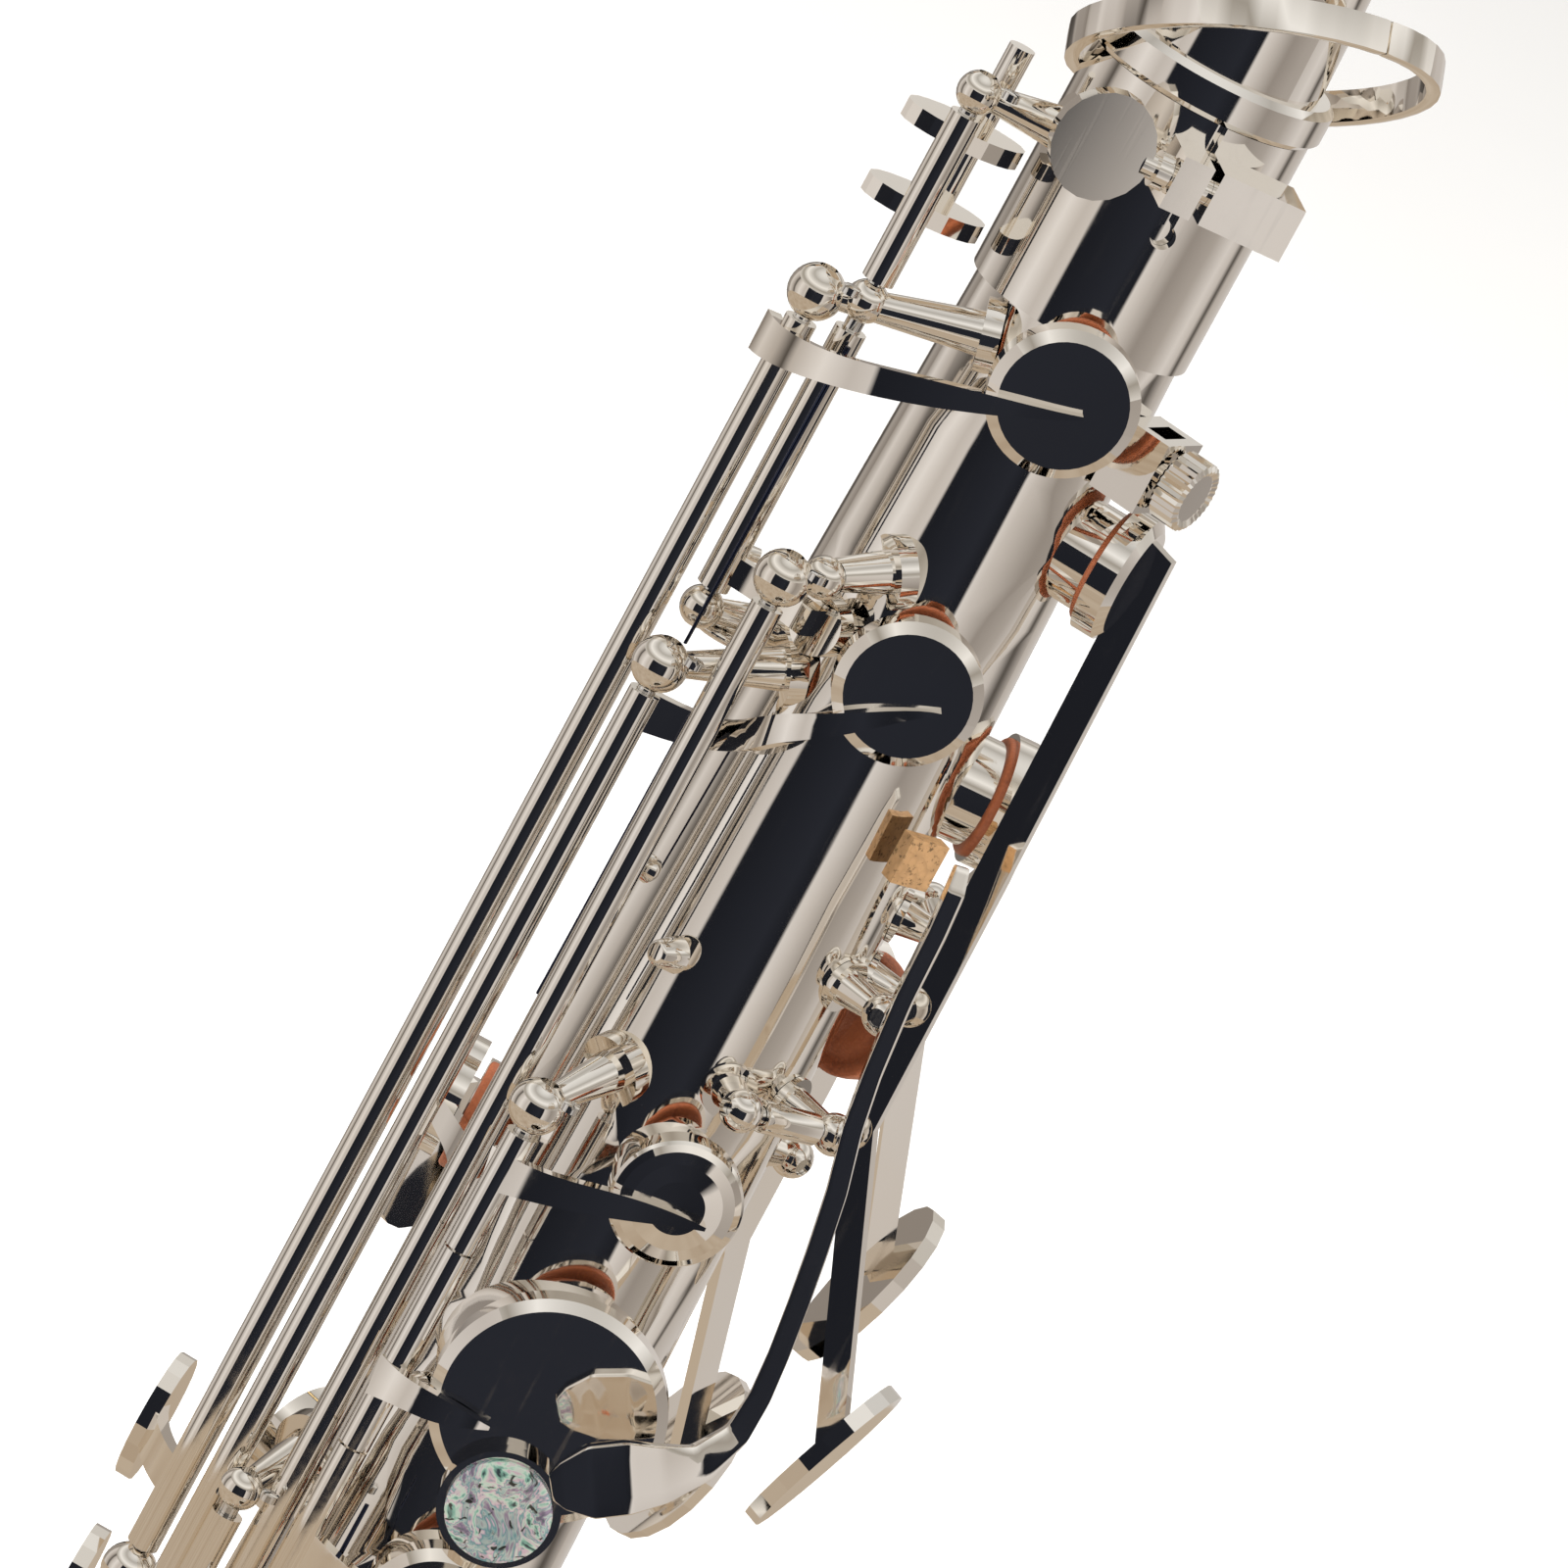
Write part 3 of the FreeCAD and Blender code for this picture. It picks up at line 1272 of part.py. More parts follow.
def build_rings():
    """The two bands over the bow's joints and the ring brace between body and bell."""
    band = size.ring_band_height
    thick = size.ring_band_thickness
    body_band = turned("body_band", band_outline(tube_radius(0), band, thick),
                       Placement(Vector(0, 0, 0), Rotation()))
    bell_band = turned("bell_band", band_outline(size.bell_foot_radius + 0.35, band, thick), bell_frame())
    z = size.brace_z
    frame = bell_frame()
    bell_axis = frame.multVec(Vector(0, 0, float(z)))
    ring_r = size.brace_ring_radius
    start = tube_radius(z)
    distance = Vector(bell_axis.x, bell_axis.y, 0).Length
    middle = (float(start) + distance - bell_radius(z)) / 2
    ring = cut("brace_ring", cylinder("brace_disc", ring_r, 4, brace_place(middle, z, -2)),
               [cylinder("brace_hole", ring_r - 3, 8, brace_place(middle, z, -4))])
    arms = []
    for label, inner, outer in (("body", float(start) - 0.6, middle - float(ring_r) + 1.2),
                                ("bell", middle + float(ring_r) - 1.2, distance - bell_radius(z) + 0.9)):
        arms.append(cylinder(f"brace_{label}_arm", 2.6, outer - inner,
                             Placement(at(front, inner, z), facing(front))))
        foot_at = float(start) - 0.6 if label == "body" else distance - bell_radius(z) - 1.6
        arms.append(cylinder(f"brace_{label}_foot", 6.5, 2.4,
                             Placement(at(front, foot_at, z), facing(front))))
    heights = [float(size.bell_height) * i / 12 for i in range(13)]
    room = shaped("brace_bell_room", bell_room(heights, 0.0))
    room.Placement = frame
    brace = cut("brace_cut", fuse("brace_whole", [ring] + arms), [room_inside("brace"), room])
    bends = [shaped(f"{label}_bend", bow_solid(tube_radius(0), size.bell_foot_radius))
             for label in ("body", "bell")]
    bands = [cut("body_band_cut", body_band, bends[:1]), cut("bell_band_cut", bell_band, bends[1:])]
    sub_part("rings_and_brace", group("bands_and_brace", bands + [brace]))


def brace_place(distance, z, along):
    return Placement(at(front, distance, z, along), across(front))


def band_outline(radius, height, thickness):
    """A band with rounded shoulders that hugs the tube."""
    half = height / 2
    return [
        (radius + 0.02, 0 - half),
        (radius + thickness * 0.6, 0 - half),
        (radius + thickness, 0 - half * 0.6),
        (radius + thickness, half * 0.6),
        (radius + thickness * 0.6, half),
        (radius + 0.02, half),
    ]


# ---------------------------------------------------------------- neck and mouthpiece

def neck_points():
    """The neck's centre line: up, round the bend and out towards the player."""
    top = float(size.tube_length + size.receiver_height)
    bend = float(size.neck_bend_radius)
    rise = top + float(size.neck_rise)
    turn = rad(size.neck_turn)

    def on_bend(angle):
        return at(back, bend * (1 - math.cos(angle)), rise + bend * math.sin(angle))

    end = on_bend(turn)
    way = outward(back) * math.sin(turn) + Vector(0, 0, math.cos(turn))
    tip = end + way * float(size.neck_run)
    return Vector(0, 0, top), Vector(0, 0, rise), on_bend(turn / 2), end, tip, way


def neck_tube(start_radius, end_radius):
    top, rise, half, end, tip, way = neck_points()
    path = Part.Wire([
        Part.LineSegment(top, rise).toShape(),
        Part.Arc(rise, half, end).toShape(),
        Part.LineSegment(end, tip).toShape(),
    ])
    shell = Part.BRepOffsetAPI.MakePipeShell(path)
    shell.add(Part.Wire([Part.Circle(top, Vector(0, 0, 1), float(start_radius)).toShape()]))
    shell.add(Part.Wire([Part.Circle(tip, way, float(end_radius)).toShape()]))
    shell.build()
    shell.makeSolid()
    return shell.shape()


def build_neck():
    top, _, _, _, tip, way = neck_points()
    wall = size.neck_wall
    outer = size.tenon_radius + 0.3
    tube = shaped("neck_outside", neck_tube(outer, size.neck_tip_radius))
    hollow = shaped("neck_inside", neck_tube(outer - wall, size.neck_tip_radius - wall))
    length = size.tenon_length
    tenon = cylinder("tenon", size.tenon_radius, length,
                     Placement(top - Vector(0, 0, float(length)), Rotation()))
    collar = turned("neck_collar", [
        (size.tenon_radius - 0.8, 0.1),
        (size.collar_radius - 0.7, 0.1),
        (size.collar_radius, 0.8),
        (size.collar_radius, size.collar_height - 0.8),
        (size.collar_radius - 0.9, size.collar_height),
        (size.tenon_radius - 0.8, size.collar_height),
    ], Placement(top, Rotation()))
    tenon_room = cylinder("tenon_room", size.tenon_radius - wall, length + 1,
                          Placement(top - Vector(0, 0, float(length)), Rotation()))
    whole = fuse("neck_whole", [tube, tenon, collar])
    sub_part("neck_tube", cut("neck_cut", whole, [tenon_room, hollow]))
    hinge_note("neck_tube", top, Vector(0, 0, 1), 35, -35)

    turn = Rotation(Vector(0, 0, 1), way)
    start = tip - way * float(size.cork_length)
    cork_radius = size.neck_tip_radius + 0.9 + size.cork_thickness
    cork = cut("cork_sleeve", cylinder("cork_outside", cork_radius, size.cork_length, Placement(start, turn)),
               [shaped("cork_hollow", neck_tube(outer, size.neck_tip_radius))])
    sub_part("neck_cork", cork)

    seat = tip - way * float(size.mouthpiece_overlap)
    upper = outward(back).cross(Vector(0, 0, 1)).cross(way)
    place = Placement(seat, Rotation(sideways(back), upper, way, "ZXY"))
    build_mouthpiece(place, cork_radius)
    hinge_note("mouthpiece", seat, way, 4, -4)
    build_neck_octave(top)


def build_mouthpiece(place, cork_radius):
    """Local Z runs to the tip and local Y is the upper side, so the reed lies at -Y."""
    length = size.mouthpiece_length
    radius = size.mouthpiece_radius
    body = turned("mouthpiece_blank", [
        (0, 0), (radius + 0.6, 0), (radius + 0.6, 4), (radius, 5),
        (radius - 0.6, length * 0.55), (radius - 2.2, length), (0, length),
    ], place)
    bore = cylinder("mouthpiece_bore", cork_radius + size.cork_fit, size.mouthpiece_overlap + 8, place)
    air = cylinder("mouthpiece_air", 5.2, length - 30, place)
    up = place.Rotation
    table = box("mouthpiece_table", 40, 12, length, place.multVec(Vector(0, -13.6, float(length) * 0.82)), up)
    slope = up.multiply(Rotation(Vector(1, 0, 0), 21))
    beak = box("mouthpiece_beak", 40, 20, 80, place.multVec(Vector(0, 15.1, float(length) - 6)), slope)
    sub_part("mouthpiece", cut("mouthpiece_cut", body, [bore, air, table, beak]))

    reed_place = place.multVec(Vector(0, -8.9, float(length) * 0.42 + 22))
    reed = box("reed_blank", 12.6, 2.4, 46, reed_place, up)
    shave = box("reed_shave", 20, 3, 40, place.multVec(Vector(0, -10.9, float(length) * 0.42 + 44)),
                up.multiply(Rotation(Vector(1, 0, 0), 3.4)))
    sub_part("reed", cut("reed_cut", reed, [shave]))

    start = place.multVec(Vector(0, 0, float(length) * 0.36))
    around = Placement(start, up)
    ring = cut("ligature_band", cylinder("ligature_outside", radius + 1.1, 22, around),
               [cylinder("ligature_hollow", radius + 0.12, 24, Placement(place.multVec(
                   Vector(0, 0, float(length) * 0.36 - 1)), up))])
    sub_part("ligature", ring)


def build_neck_octave(top):
    """The loop of the neck's octave key: a strip that leans round the neck's foot."""
    middle = top + Vector(0, 0, float(size.loop_height))
    lean = Rotation(outward(size.loop_low_azimuth).cross(Vector(0, 0, 1)) * -1, size.loop_lean.value)
    place = Placement(middle, lean)
    loop = cut("loop", cylinder("loop_disc", size.loop_radius + size.loop_width, size.loop_thickness, place),
               [cylinder("loop_hole", size.loop_radius, size.loop_thickness + 2,
                         Placement(middle - lean.multVec(Vector(0, 0, 1)), lean))])
    sub_part("neck_octave_key", loop)
    hinge_note("neck_octave_key", middle, sideways(back), 3, -3)


# ---------------------------------------------------------------- fittings on the tube

def build_fittings():
    z = size.strap_ring_z
    hole = at(back, ring_distance, z)
    wide = size.strap_ring_thickness
    outer = size.strap_hole_radius + size.strap_ring_wire
    disc = cylinder("ring_disc", outer, wide,
                    Placement(hole - sideways(back) * (float(wide) / 2), across(back)))
    opening = cylinder("ring_hole", size.strap_hole_radius, wide + 2,
                       Placement(hole - sideways(back) * (float(wide) / 2 + 1), across(back)))
    foot = box("ring_foot", 3.0, 9.0, 26.0, at(back, tube_radius(z) + 0.9, z), standing(back))
    neck = box("ring_neck", 7.4, 3.2, 7.0, at(back, tube_radius(z) + 4.6, z), standing(back))
    whole = fuse("ring_whole", [disc, foot, neck])
    sub_part("strap_ring", cut("ring_cut", whole, [opening, room_inside("ring")]))

    z = size.hook_z
    foot = box("hook_foot", 2.6, 12.0, 22.0, at(back, tube_radius(z) + 0.8, z), standing(back))
    route = [at(back, tube_radius(z) + 1, z + 4), at(back, tube_radius(z) + 11, z + 9),
             at(back, tube_radius(z) + 20, z + 3), at(back, tube_radius(z) + 22, z - 12)]
    hook = ribbon("hook_bend", route, 12.0, 2.4, sideways(back))
    thumb_hook = cut("hook_cut", fuse("hook_whole", [foot, hook]), [room_inside("hook")])

    z = size.rest_z
    rest = cylinder("rest_button", 9.0, 5.0, Placement(at(-146, tube_radius(z) - 1.4, z), facing(-146)))
    thumb_button = cut("rest_cut", rest, [room_inside("rest")])
    sub_part("thumb_rests", group("hook_and_button", [thumb_hook, thumb_button]))

    z = size.lyre_z
    azimuth = size.lyre_azimuth
    block = box("lyre_block", 6.4, 9.0, 9.0, at(azimuth, tube_radius(z) + 3.0, z), standing(azimuth))
    window = box("lyre_window", 2.6, 5.4, 16.0, at(azimuth, tube_radius(z) + 3.4, z), standing(azimuth))
    thread = cylinder("lyre_thread", size.screw_radius + size.screw_fit, 8,
                      Placement(at(azimuth, tube_radius(z) + 3.0, z), facing(azimuth)))
    sub_part("lyre_holder", cut("lyre_cut", block, [window, thread, room_inside("lyre")]))
    shank = cylinder("lyre_shank", size.screw_radius, 5.4,
                     Placement(at(azimuth, tube_radius(z) + 4.9, z), facing(azimuth)))
    knob = cylinder("lyre_knob", 4.4, 3.2, Placement(at(azimuth, tube_radius(z) + 6.6, z), facing(azimuth)))
    sub_part("lyre_screw", fuse("lyre_screw_whole", [shank, knob]))
    hinge_note("lyre_screw", at(azimuth, tube_radius(z) + 6, z), outward(azimuth), 25, -25)


# ---------------------------------------------------------------- the whole instrument

build_body_tube()
build_receiver()
build_clamp_screw()
for key_name in KEYS:
    build_key(key_name)
for key_name in PALM_KEYS:
    build_palm_key(key_name)
build_front_f()
build_octave()
build_posts()
build_bow()
build_bell()
for key_name in BELL_KEYS:
    build_bell_key(key_name)
build_rings()
build_neck()
build_fittings()

doc.recompute()

for thing in doc.Objects:
    if "Invalid" in thing.State or "Error" in thing.State:
        raise RuntimeError(f"{thing.Name} failed: {thing.State}")
for label, thing in made:
    shape = thing.Shape
    if shape.isNull() or not shape.isValid():
        raise RuntimeError(f"{label} has no sound shape")

os.makedirs("parts", exist_ok=True)
for label, thing in made:
    thing.Shape.exportStep(f"parts/{label}.step")
    count = len(thing.Shape.Solids)
    print(f"{label}: {count} solid(s), {thing.Shape.Volume:.1f} mm3")
for label, place, axis, opens, closes in joints:
    print(f"joint {label}: {place.x:.4f} {place.y:.4f} {place.z:.4f} "
          f"{axis.x:.5f} {axis.y:.5f} {axis.z:.5f} {opens} {closes}")
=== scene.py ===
import json
import math

import bmesh
import bpy
from mathutils import Matrix, Vector

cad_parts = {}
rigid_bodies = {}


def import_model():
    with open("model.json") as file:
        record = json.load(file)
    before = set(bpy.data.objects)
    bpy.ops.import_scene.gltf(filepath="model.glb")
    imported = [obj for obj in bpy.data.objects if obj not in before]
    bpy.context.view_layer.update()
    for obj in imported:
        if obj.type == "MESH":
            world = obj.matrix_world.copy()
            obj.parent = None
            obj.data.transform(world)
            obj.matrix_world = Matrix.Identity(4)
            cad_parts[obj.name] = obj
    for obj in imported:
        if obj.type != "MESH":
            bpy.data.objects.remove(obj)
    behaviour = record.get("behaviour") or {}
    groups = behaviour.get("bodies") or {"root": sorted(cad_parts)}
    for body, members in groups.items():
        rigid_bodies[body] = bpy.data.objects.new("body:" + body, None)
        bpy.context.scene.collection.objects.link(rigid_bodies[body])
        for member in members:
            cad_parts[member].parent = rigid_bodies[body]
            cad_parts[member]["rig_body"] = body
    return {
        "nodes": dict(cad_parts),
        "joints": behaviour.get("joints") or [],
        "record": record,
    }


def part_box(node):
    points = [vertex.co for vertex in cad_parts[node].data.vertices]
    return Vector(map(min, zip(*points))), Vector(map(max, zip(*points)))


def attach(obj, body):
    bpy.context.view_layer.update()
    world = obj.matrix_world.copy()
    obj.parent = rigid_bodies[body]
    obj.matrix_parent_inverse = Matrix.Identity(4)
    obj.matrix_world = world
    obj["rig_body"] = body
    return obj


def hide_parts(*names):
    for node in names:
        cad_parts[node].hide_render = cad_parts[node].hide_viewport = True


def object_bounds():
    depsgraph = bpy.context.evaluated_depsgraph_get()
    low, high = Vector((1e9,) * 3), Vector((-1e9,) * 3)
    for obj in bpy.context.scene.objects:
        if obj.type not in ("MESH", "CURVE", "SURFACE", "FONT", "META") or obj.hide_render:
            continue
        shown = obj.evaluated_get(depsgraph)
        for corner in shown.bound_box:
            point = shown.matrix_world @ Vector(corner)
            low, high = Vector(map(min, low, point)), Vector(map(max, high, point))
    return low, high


bl_info = {
    "name": "Silver alto saxophone",
    "version": (1, 0, 0),
    "blender": (4, 5, 0),
    "location": "View3D > Sidebar > Saxophone",
    "description": "Finishes and fine pieces of a silver plated alto saxophone",
    "category": "Object",
}

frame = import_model()
NODES = frame["nodes"]
CAD_BOX = [list(corner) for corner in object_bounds()]
MM = 0.001
UP = Vector((0.0, 0.0, 1.0))


def node_middle(name):
    low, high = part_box(name)
    return (low + high) / 2


TUBE_AXIS = node_middle("neck_receiver").copy()
TUBE_AXIS.z = 0.0


# ------------------------------------------------------------------ settings

class SaxFinishSettings(bpy.types.PropertyGroup):
    """Colours of the finishes."""

    silver: bpy.props.FloatVectorProperty(
        name="Silver", description="Colour of the polished plating",
        subtype="COLOR", size=3, min=0.0, max=1.0, default=(0.935, 0.905, 0.86))
    tarnish: bpy.props.FloatVectorProperty(
        name="Tarnish", description="Warmer colour where the plating has yellowed",
        subtype="COLOR", size=3, min=0.0, max=1.0, default=(0.90, 0.82, 0.70))
    leather: bpy.props.FloatVectorProperty(
        name="Pad leather", description="Colour of the tanned pad leather",
        subtype="COLOR", size=3, min=0.0, max=1.0, default=(0.47, 0.135, 0.052))
    leather_dark: bpy.props.FloatVectorProperty(
        name="Pad leather, dark", description="Colour in the leather's pores and creases",
        subtype="COLOR", size=3, min=0.0, max=1.0, default=(0.21, 0.055, 0.022))
    cork: bpy.props.FloatVectorProperty(
        name="Cork", description="Colour of the cork",
        subtype="COLOR", size=3, min=0.0, max=1.0, default=(0.47, 0.27, 0.12))
    scratch: bpy.props.FloatProperty(
        name="Hairlines", description="How strongly polishing hairlines show in the plating",
        subtype="FACTOR", min=0.0, max=1.0, default=0.45)


class SaxPadSettings(bpy.types.PropertyGroup):
    """Sizes of the leather pads."""

    crease_depth: bpy.props.FloatProperty(
        name="Crease depth", description="How deep the tone hole's rim has pressed in",
        unit="LENGTH", min=0.0, max=0.001, default=0.00035, precision=5)
    crease_width: bpy.props.FloatProperty(
        name="Crease width", description="Width of the pressed ring",
        unit="LENGTH", min=0.0001, max=0.003, default=0.0007, precision=5)
    edge_round: bpy.props.FloatProperty(
        name="Edge rounding", description="Rounding of the pad's edge",
        unit="LENGTH", min=0.0, max=0.002, default=0.0005, precision=5)


class SaxPearlSettings(bpy.types.PropertyGroup):
    """Sizes of the pearl touches."""

    dish: bpy.props.FloatProperty(
        name="Dish", description="How far the middle of a pearl is hollowed for the finger",
        unit="LENGTH", min=0.0, max=0.001, default=0.0003, precision=5)


class SaxSpringSettings(bpy.types.PropertyGroup):
    """Sizes of springs, studs and screws."""

    wire: bpy.props.FloatProperty(
        name="Spring wire", description="Diameter of a needle spring",
        unit="LENGTH", min=0.0002, max=0.002, default=0.0007, precision=5)
    point: bpy.props.FloatProperty(
        name="Spring point", description="Thickness of the point as a share of the wire",
        subtype="FACTOR", min=0.1, max=1.0, default=0.5)
    stud_height: bpy.props.FloatProperty(
        name="Stud height", description="Height of the studs that stand on the tube",
        unit="LENGTH", min=0.001, max=0.01, default=0.0034, precision=5)
    slot: bpy.props.FloatProperty(
        name="Screw slot", description="Width of a pivot screw's slot",
        unit="LENGTH", min=0.0001, max=0.001, default=0.00034, precision=5)


class SaxStageSettings(bpy.types.PropertyGroup):
    """Camera and light."""

    lens: bpy.props.FloatProperty(
        name="Lens", description="Focal length of the camera",
        unit="CAMERA", min=35.0, max=600.0, default=250.0)
    width: bpy.props.FloatProperty(
        name="View width", description="Width that the camera sees at the tube",
        unit="LENGTH", min=0.05, max=2.0, default=0.1824)
    azimuth: bpy.props.FloatProperty(
        name="Azimuth", description="Side that the camera stands on, from the bell side",
        unit="ROTATION", default=math.radians(-47.0))
    elevation: bpy.props.FloatProperty(
        name="Elevation", description="Height of the camera above the horizon",
        unit="ROTATION", default=math.radians(16.4))
    roll: bpy.props.FloatProperty(
        name="Roll", description="How far the camera is tilted",
        unit="ROTATION", default=math.radians(28.6))
    surroundings: bpy.props.FloatProperty(
        name="Surroundings", description="Brightness of the room round the object",
        min=0.0, max=5.0, default=1.0)
    power: bpy.props.FloatProperty(
        name="Top light", description="Power of the big soft light overhead",
        subtype="POWER", unit="POWER", min=0.0, max=500.0, default=100.0)
    screen_radius: bpy.props.FloatProperty(
        name="Screen radius", description="Radius of the screen that the plating mirrors",
        unit="LENGTH", min=0.5, max=5.0, default=0.95)
    screen_top: bpy.props.FloatProperty(
        name="Screen top", description="Height of the screen's upper edge",
        unit="LENGTH", min=0.0, max=1.0, default=0.45)
    screen_light: bpy.props.FloatProperty(
        name="Screen light", description="Brightness of the screen",
        min=0.0, max=3.0, default=0.85)
    target: bpy.props.FloatVectorProperty(
        name="Target", description="Point in the middle of the view",
        subtype="XYZ", unit="LENGTH", size=3, default=(-0.00274, -0.02952, 0.1767))


# ------------------------------------------------------------------ tools for modelling

def deselect():
    bpy.ops.object.select_all(action="DESELECT")


def pick(obj):
    deselect()
    obj.select_set(True)
    bpy.context.view_layer.objects.active = obj


def named(name):
    """The piece just added, under its own name."""
    obj = bpy.context.object
    obj.name = name
    obj.data.name = name
    return obj


def choose_faces(obj, test):
    """In edit mode, selects just the faces that pass the test."""
    shape = bmesh.from_edit_mesh(obj.data)
    shape.normal_update()
    for face in shape.faces:
        face.select = bool(test(face))
    shape.select_flush_mode()
    bmesh.update_edit_mesh(obj.data)


def choose_edges(obj, test):
    """In edit mode, selects just the edges that pass the test."""
    shape = bmesh.from_edit_mesh(obj.data)
    for edge in shape.edges:
        edge.select = bool(test(edge))
    shape.select_flush_mode()
    bmesh.update_edit_mesh(obj.data)


def edit(mode="FACE"):
    bpy.ops.object.mode_set(mode="EDIT")
    bpy.ops.mesh.select_mode(type=mode)


def leave_edit():
    bpy.ops.object.mode_set(mode="OBJECT")


def bevelled(obj, width, segments=2, angle=30.0):
    """Rounds the edges of a piece and applies the modifier."""
    pick(obj)
    bevel = obj.modifiers.new("Rounding", "BEVEL")
    bevel.width = width
    bevel.segments = segments
    bevel.limit_method = "ANGLE"
    bevel.angle_limit = math.radians(angle)
    bevel.harden_normals = False
    bpy.ops.object.modifier_apply(modifier="Rounding")


def smooth(obj, angle=35.0):
    pick(obj)
    bpy.ops.object.shade_smooth_by_angle(angle=math.radians(angle))


def settle(obj, place):
    """Puts a piece that was modelled about the origin in its place, within its mesh."""
    pick(obj)
    obj.matrix_world = place
    bpy.ops.object.transform_apply(location=True, rotation=True, scale=True)


def lined_up(point, direction, side=UP):
    """Local Z along the direction, local X as near to the side direction as it can be."""
    z = direction.normalized()
    x = side - z * side.dot(z)
    if x.length < 1e-6:
        x = Vector((1.0, 0.0, 0.0)) - z * z.x
    x.normalize()
    y = z.cross(x)
    turn = Matrix((x, y, z)).transposed().to_4x4()
    return Matrix.Translation(point) @ turn


def disc_frame(name):
    """Middle, outward direction, radius and thickness of a round CAD node."""
    mesh = NODES[name].data
    sums = {}
    for face in mesh.polygons:
        key = tuple(round(part, 1) for part in face.normal)
        sums[key] = sums.get(key, Vector((0.0, 0.0, 0.0))) + face.normal * face.area
    axis = max(sums.values(), key=lambda total: total.length).normalized()
    points = [vertex.co for vertex in mesh.vertices]
    middle = sum(points, Vector((0.0, 0.0, 0.0))) / len(points)
    away = middle - TUBE_AXIS
    away.z = 0.0
    if axis.dot(away) < 0:
        axis = -axis
    along = [point.dot(axis) for point in points]
    side = UP.cross(axis).normalized()
    rise = axis.cross(side)
    spans = []
    for direction in (side, rise):
        shares = [point.dot(direction) for point in points]
        spans.append((min(shares), max(shares)))
    centre = axis * (min(along) + max(along)) / 2
    centre += side * (spans[0][0] + spans[0][1]) / 2 + rise * (spans[1][0] + spans[1][1]) / 2
    radius = (spans[0][1] - spans[0][0]) / 2
    return centre, axis, radius, max(along) - min(along)


# ------------------------------------------------------------------ node groups

def new_group(name, inputs, outputs):
    group = bpy.data.node_groups.new(name, "ShaderNodeTree")
    for label, kind, value in inputs:
        socket = group.interface.new_socket(label, in_out="INPUT", socket_type=kind)
        socket.default_value = value
    for label, kind in outputs:
        group.interface.new_socket(label, in_out="OUTPUT", socket_type=kind)
    start = group.nodes.new("NodeGroupInput")
    end = group.nodes.new("NodeGroupOutput")
    return group, start, end


def math_node(tree, operation, first, second=None, clamp=False):
    node = tree.nodes.new("ShaderNodeMath")
    node.operation = operation
    node.use_clamp = clamp
    for socket, value in zip(node.inputs, (first, second)):
        if value is None:
            continue
        if isinstance(value, (int, float)):
            socket.default_value = value
        else:
            tree.links.new(value, socket)
    return node.outputs[0]


def blend_colours(tree, factor, first, second):
    node = tree.nodes.new("ShaderNodeMix")
    node.data_type = "RGBA"
    for socket, value in ((node.inputs[0], factor), (node.inputs[6], first), (node.inputs[7], second)):
        if isinstance(value, bpy.types.NodeSocket):
            tree.links.new(value, socket)
        elif isinstance(value, (int, float)):
            socket.default_value = value
        else:
            socket.default_value = (*value, 1.0)
    return node.outputs[2]


def object_point(tree, scale=(1.0, 1.0, 1.0), rotation=(0.0, 0.0, 0.0)):
    """The place on the piece, in metres, turned and stretched for a pattern."""
    coordinates = tree.nodes.new("ShaderNodeTexCoord")
    mapping = tree.nodes.new("ShaderNodeMapping")
    mapping.inputs["Scale"].default_value = scale
    mapping.inputs["Rotation"].default_value = rotation
    tree.links.new(coordinates.outputs["Object"], mapping.inputs["Vector"])
    return mapping.outputs["Vector"]


def noise(tree, vector, scale, detail=2.0, roughness=0.5, distortion=0.0):
    node = tree.nodes.new("ShaderNodeTexNoise")
    node.inputs["Scale"].default_value = scale
    node.inputs["Detail"].default_value = detail
    node.inputs["Roughness"].default_value = roughness
    node.inputs["Distortion"].default_value = distortion
    tree.links.new(vector, node.inputs["Vector"])
    return node.outputs["Fac"]


def steps(tree, value, low, high):
    """0 below low, 1 above high and an even slope between."""
    node = tree.nodes.new("ShaderNodeMapRange")
    node.clamp = True
    node.inputs["From Min"].default_value = low
    node.inputs["From Max"].default_value = high
    tree.links.new(value, node.inputs["Value"])
    return node.outputs["Result"]


def hairline_group():
    """Fine polishing hairlines in three directions, and a slow waviness of the metal."""
    group, start, end = new_group(
        "Polishing hairlines",
        [("Strength", "NodeSocketFloat", 0.4)],
        [("Mask", "NodeSocketFloat"), ("Height", "NodeSocketFloat")])
    lines = None
    for turn, stretch in ((0.3, 900.0), (1.35, 1200.0), (2.4, 1050.0)):
        place = object_point(group, (stretch, stretch * 0.02, stretch * 0.035), (turn, turn * 0.7, turn))
        line = steps(group, noise(group, place, 1.0, 1.0), 0.66, 0.74)
        lines = line if lines is None else math_node(group, "MAXIMUM", lines, line)
    patches = steps(group, noise(group, object_point(group), 60.0, 3.0), 0.38, 0.66)
    mask = math_node(group, "MULTIPLY", lines, patches)
    mask = math_node(group, "MULTIPLY", mask, start.outputs["Strength"], clamp=True)
    wave = noise(group, object_point(group), 38.0, 1.0)
    height = math_node(group, "SUBTRACT", wave, math_node(group, "MULTIPLY", mask, 0.02))
    group.links.new(mask, end.inputs["Mask"])
    group.links.new(height, end.inputs["Height"])
    return group


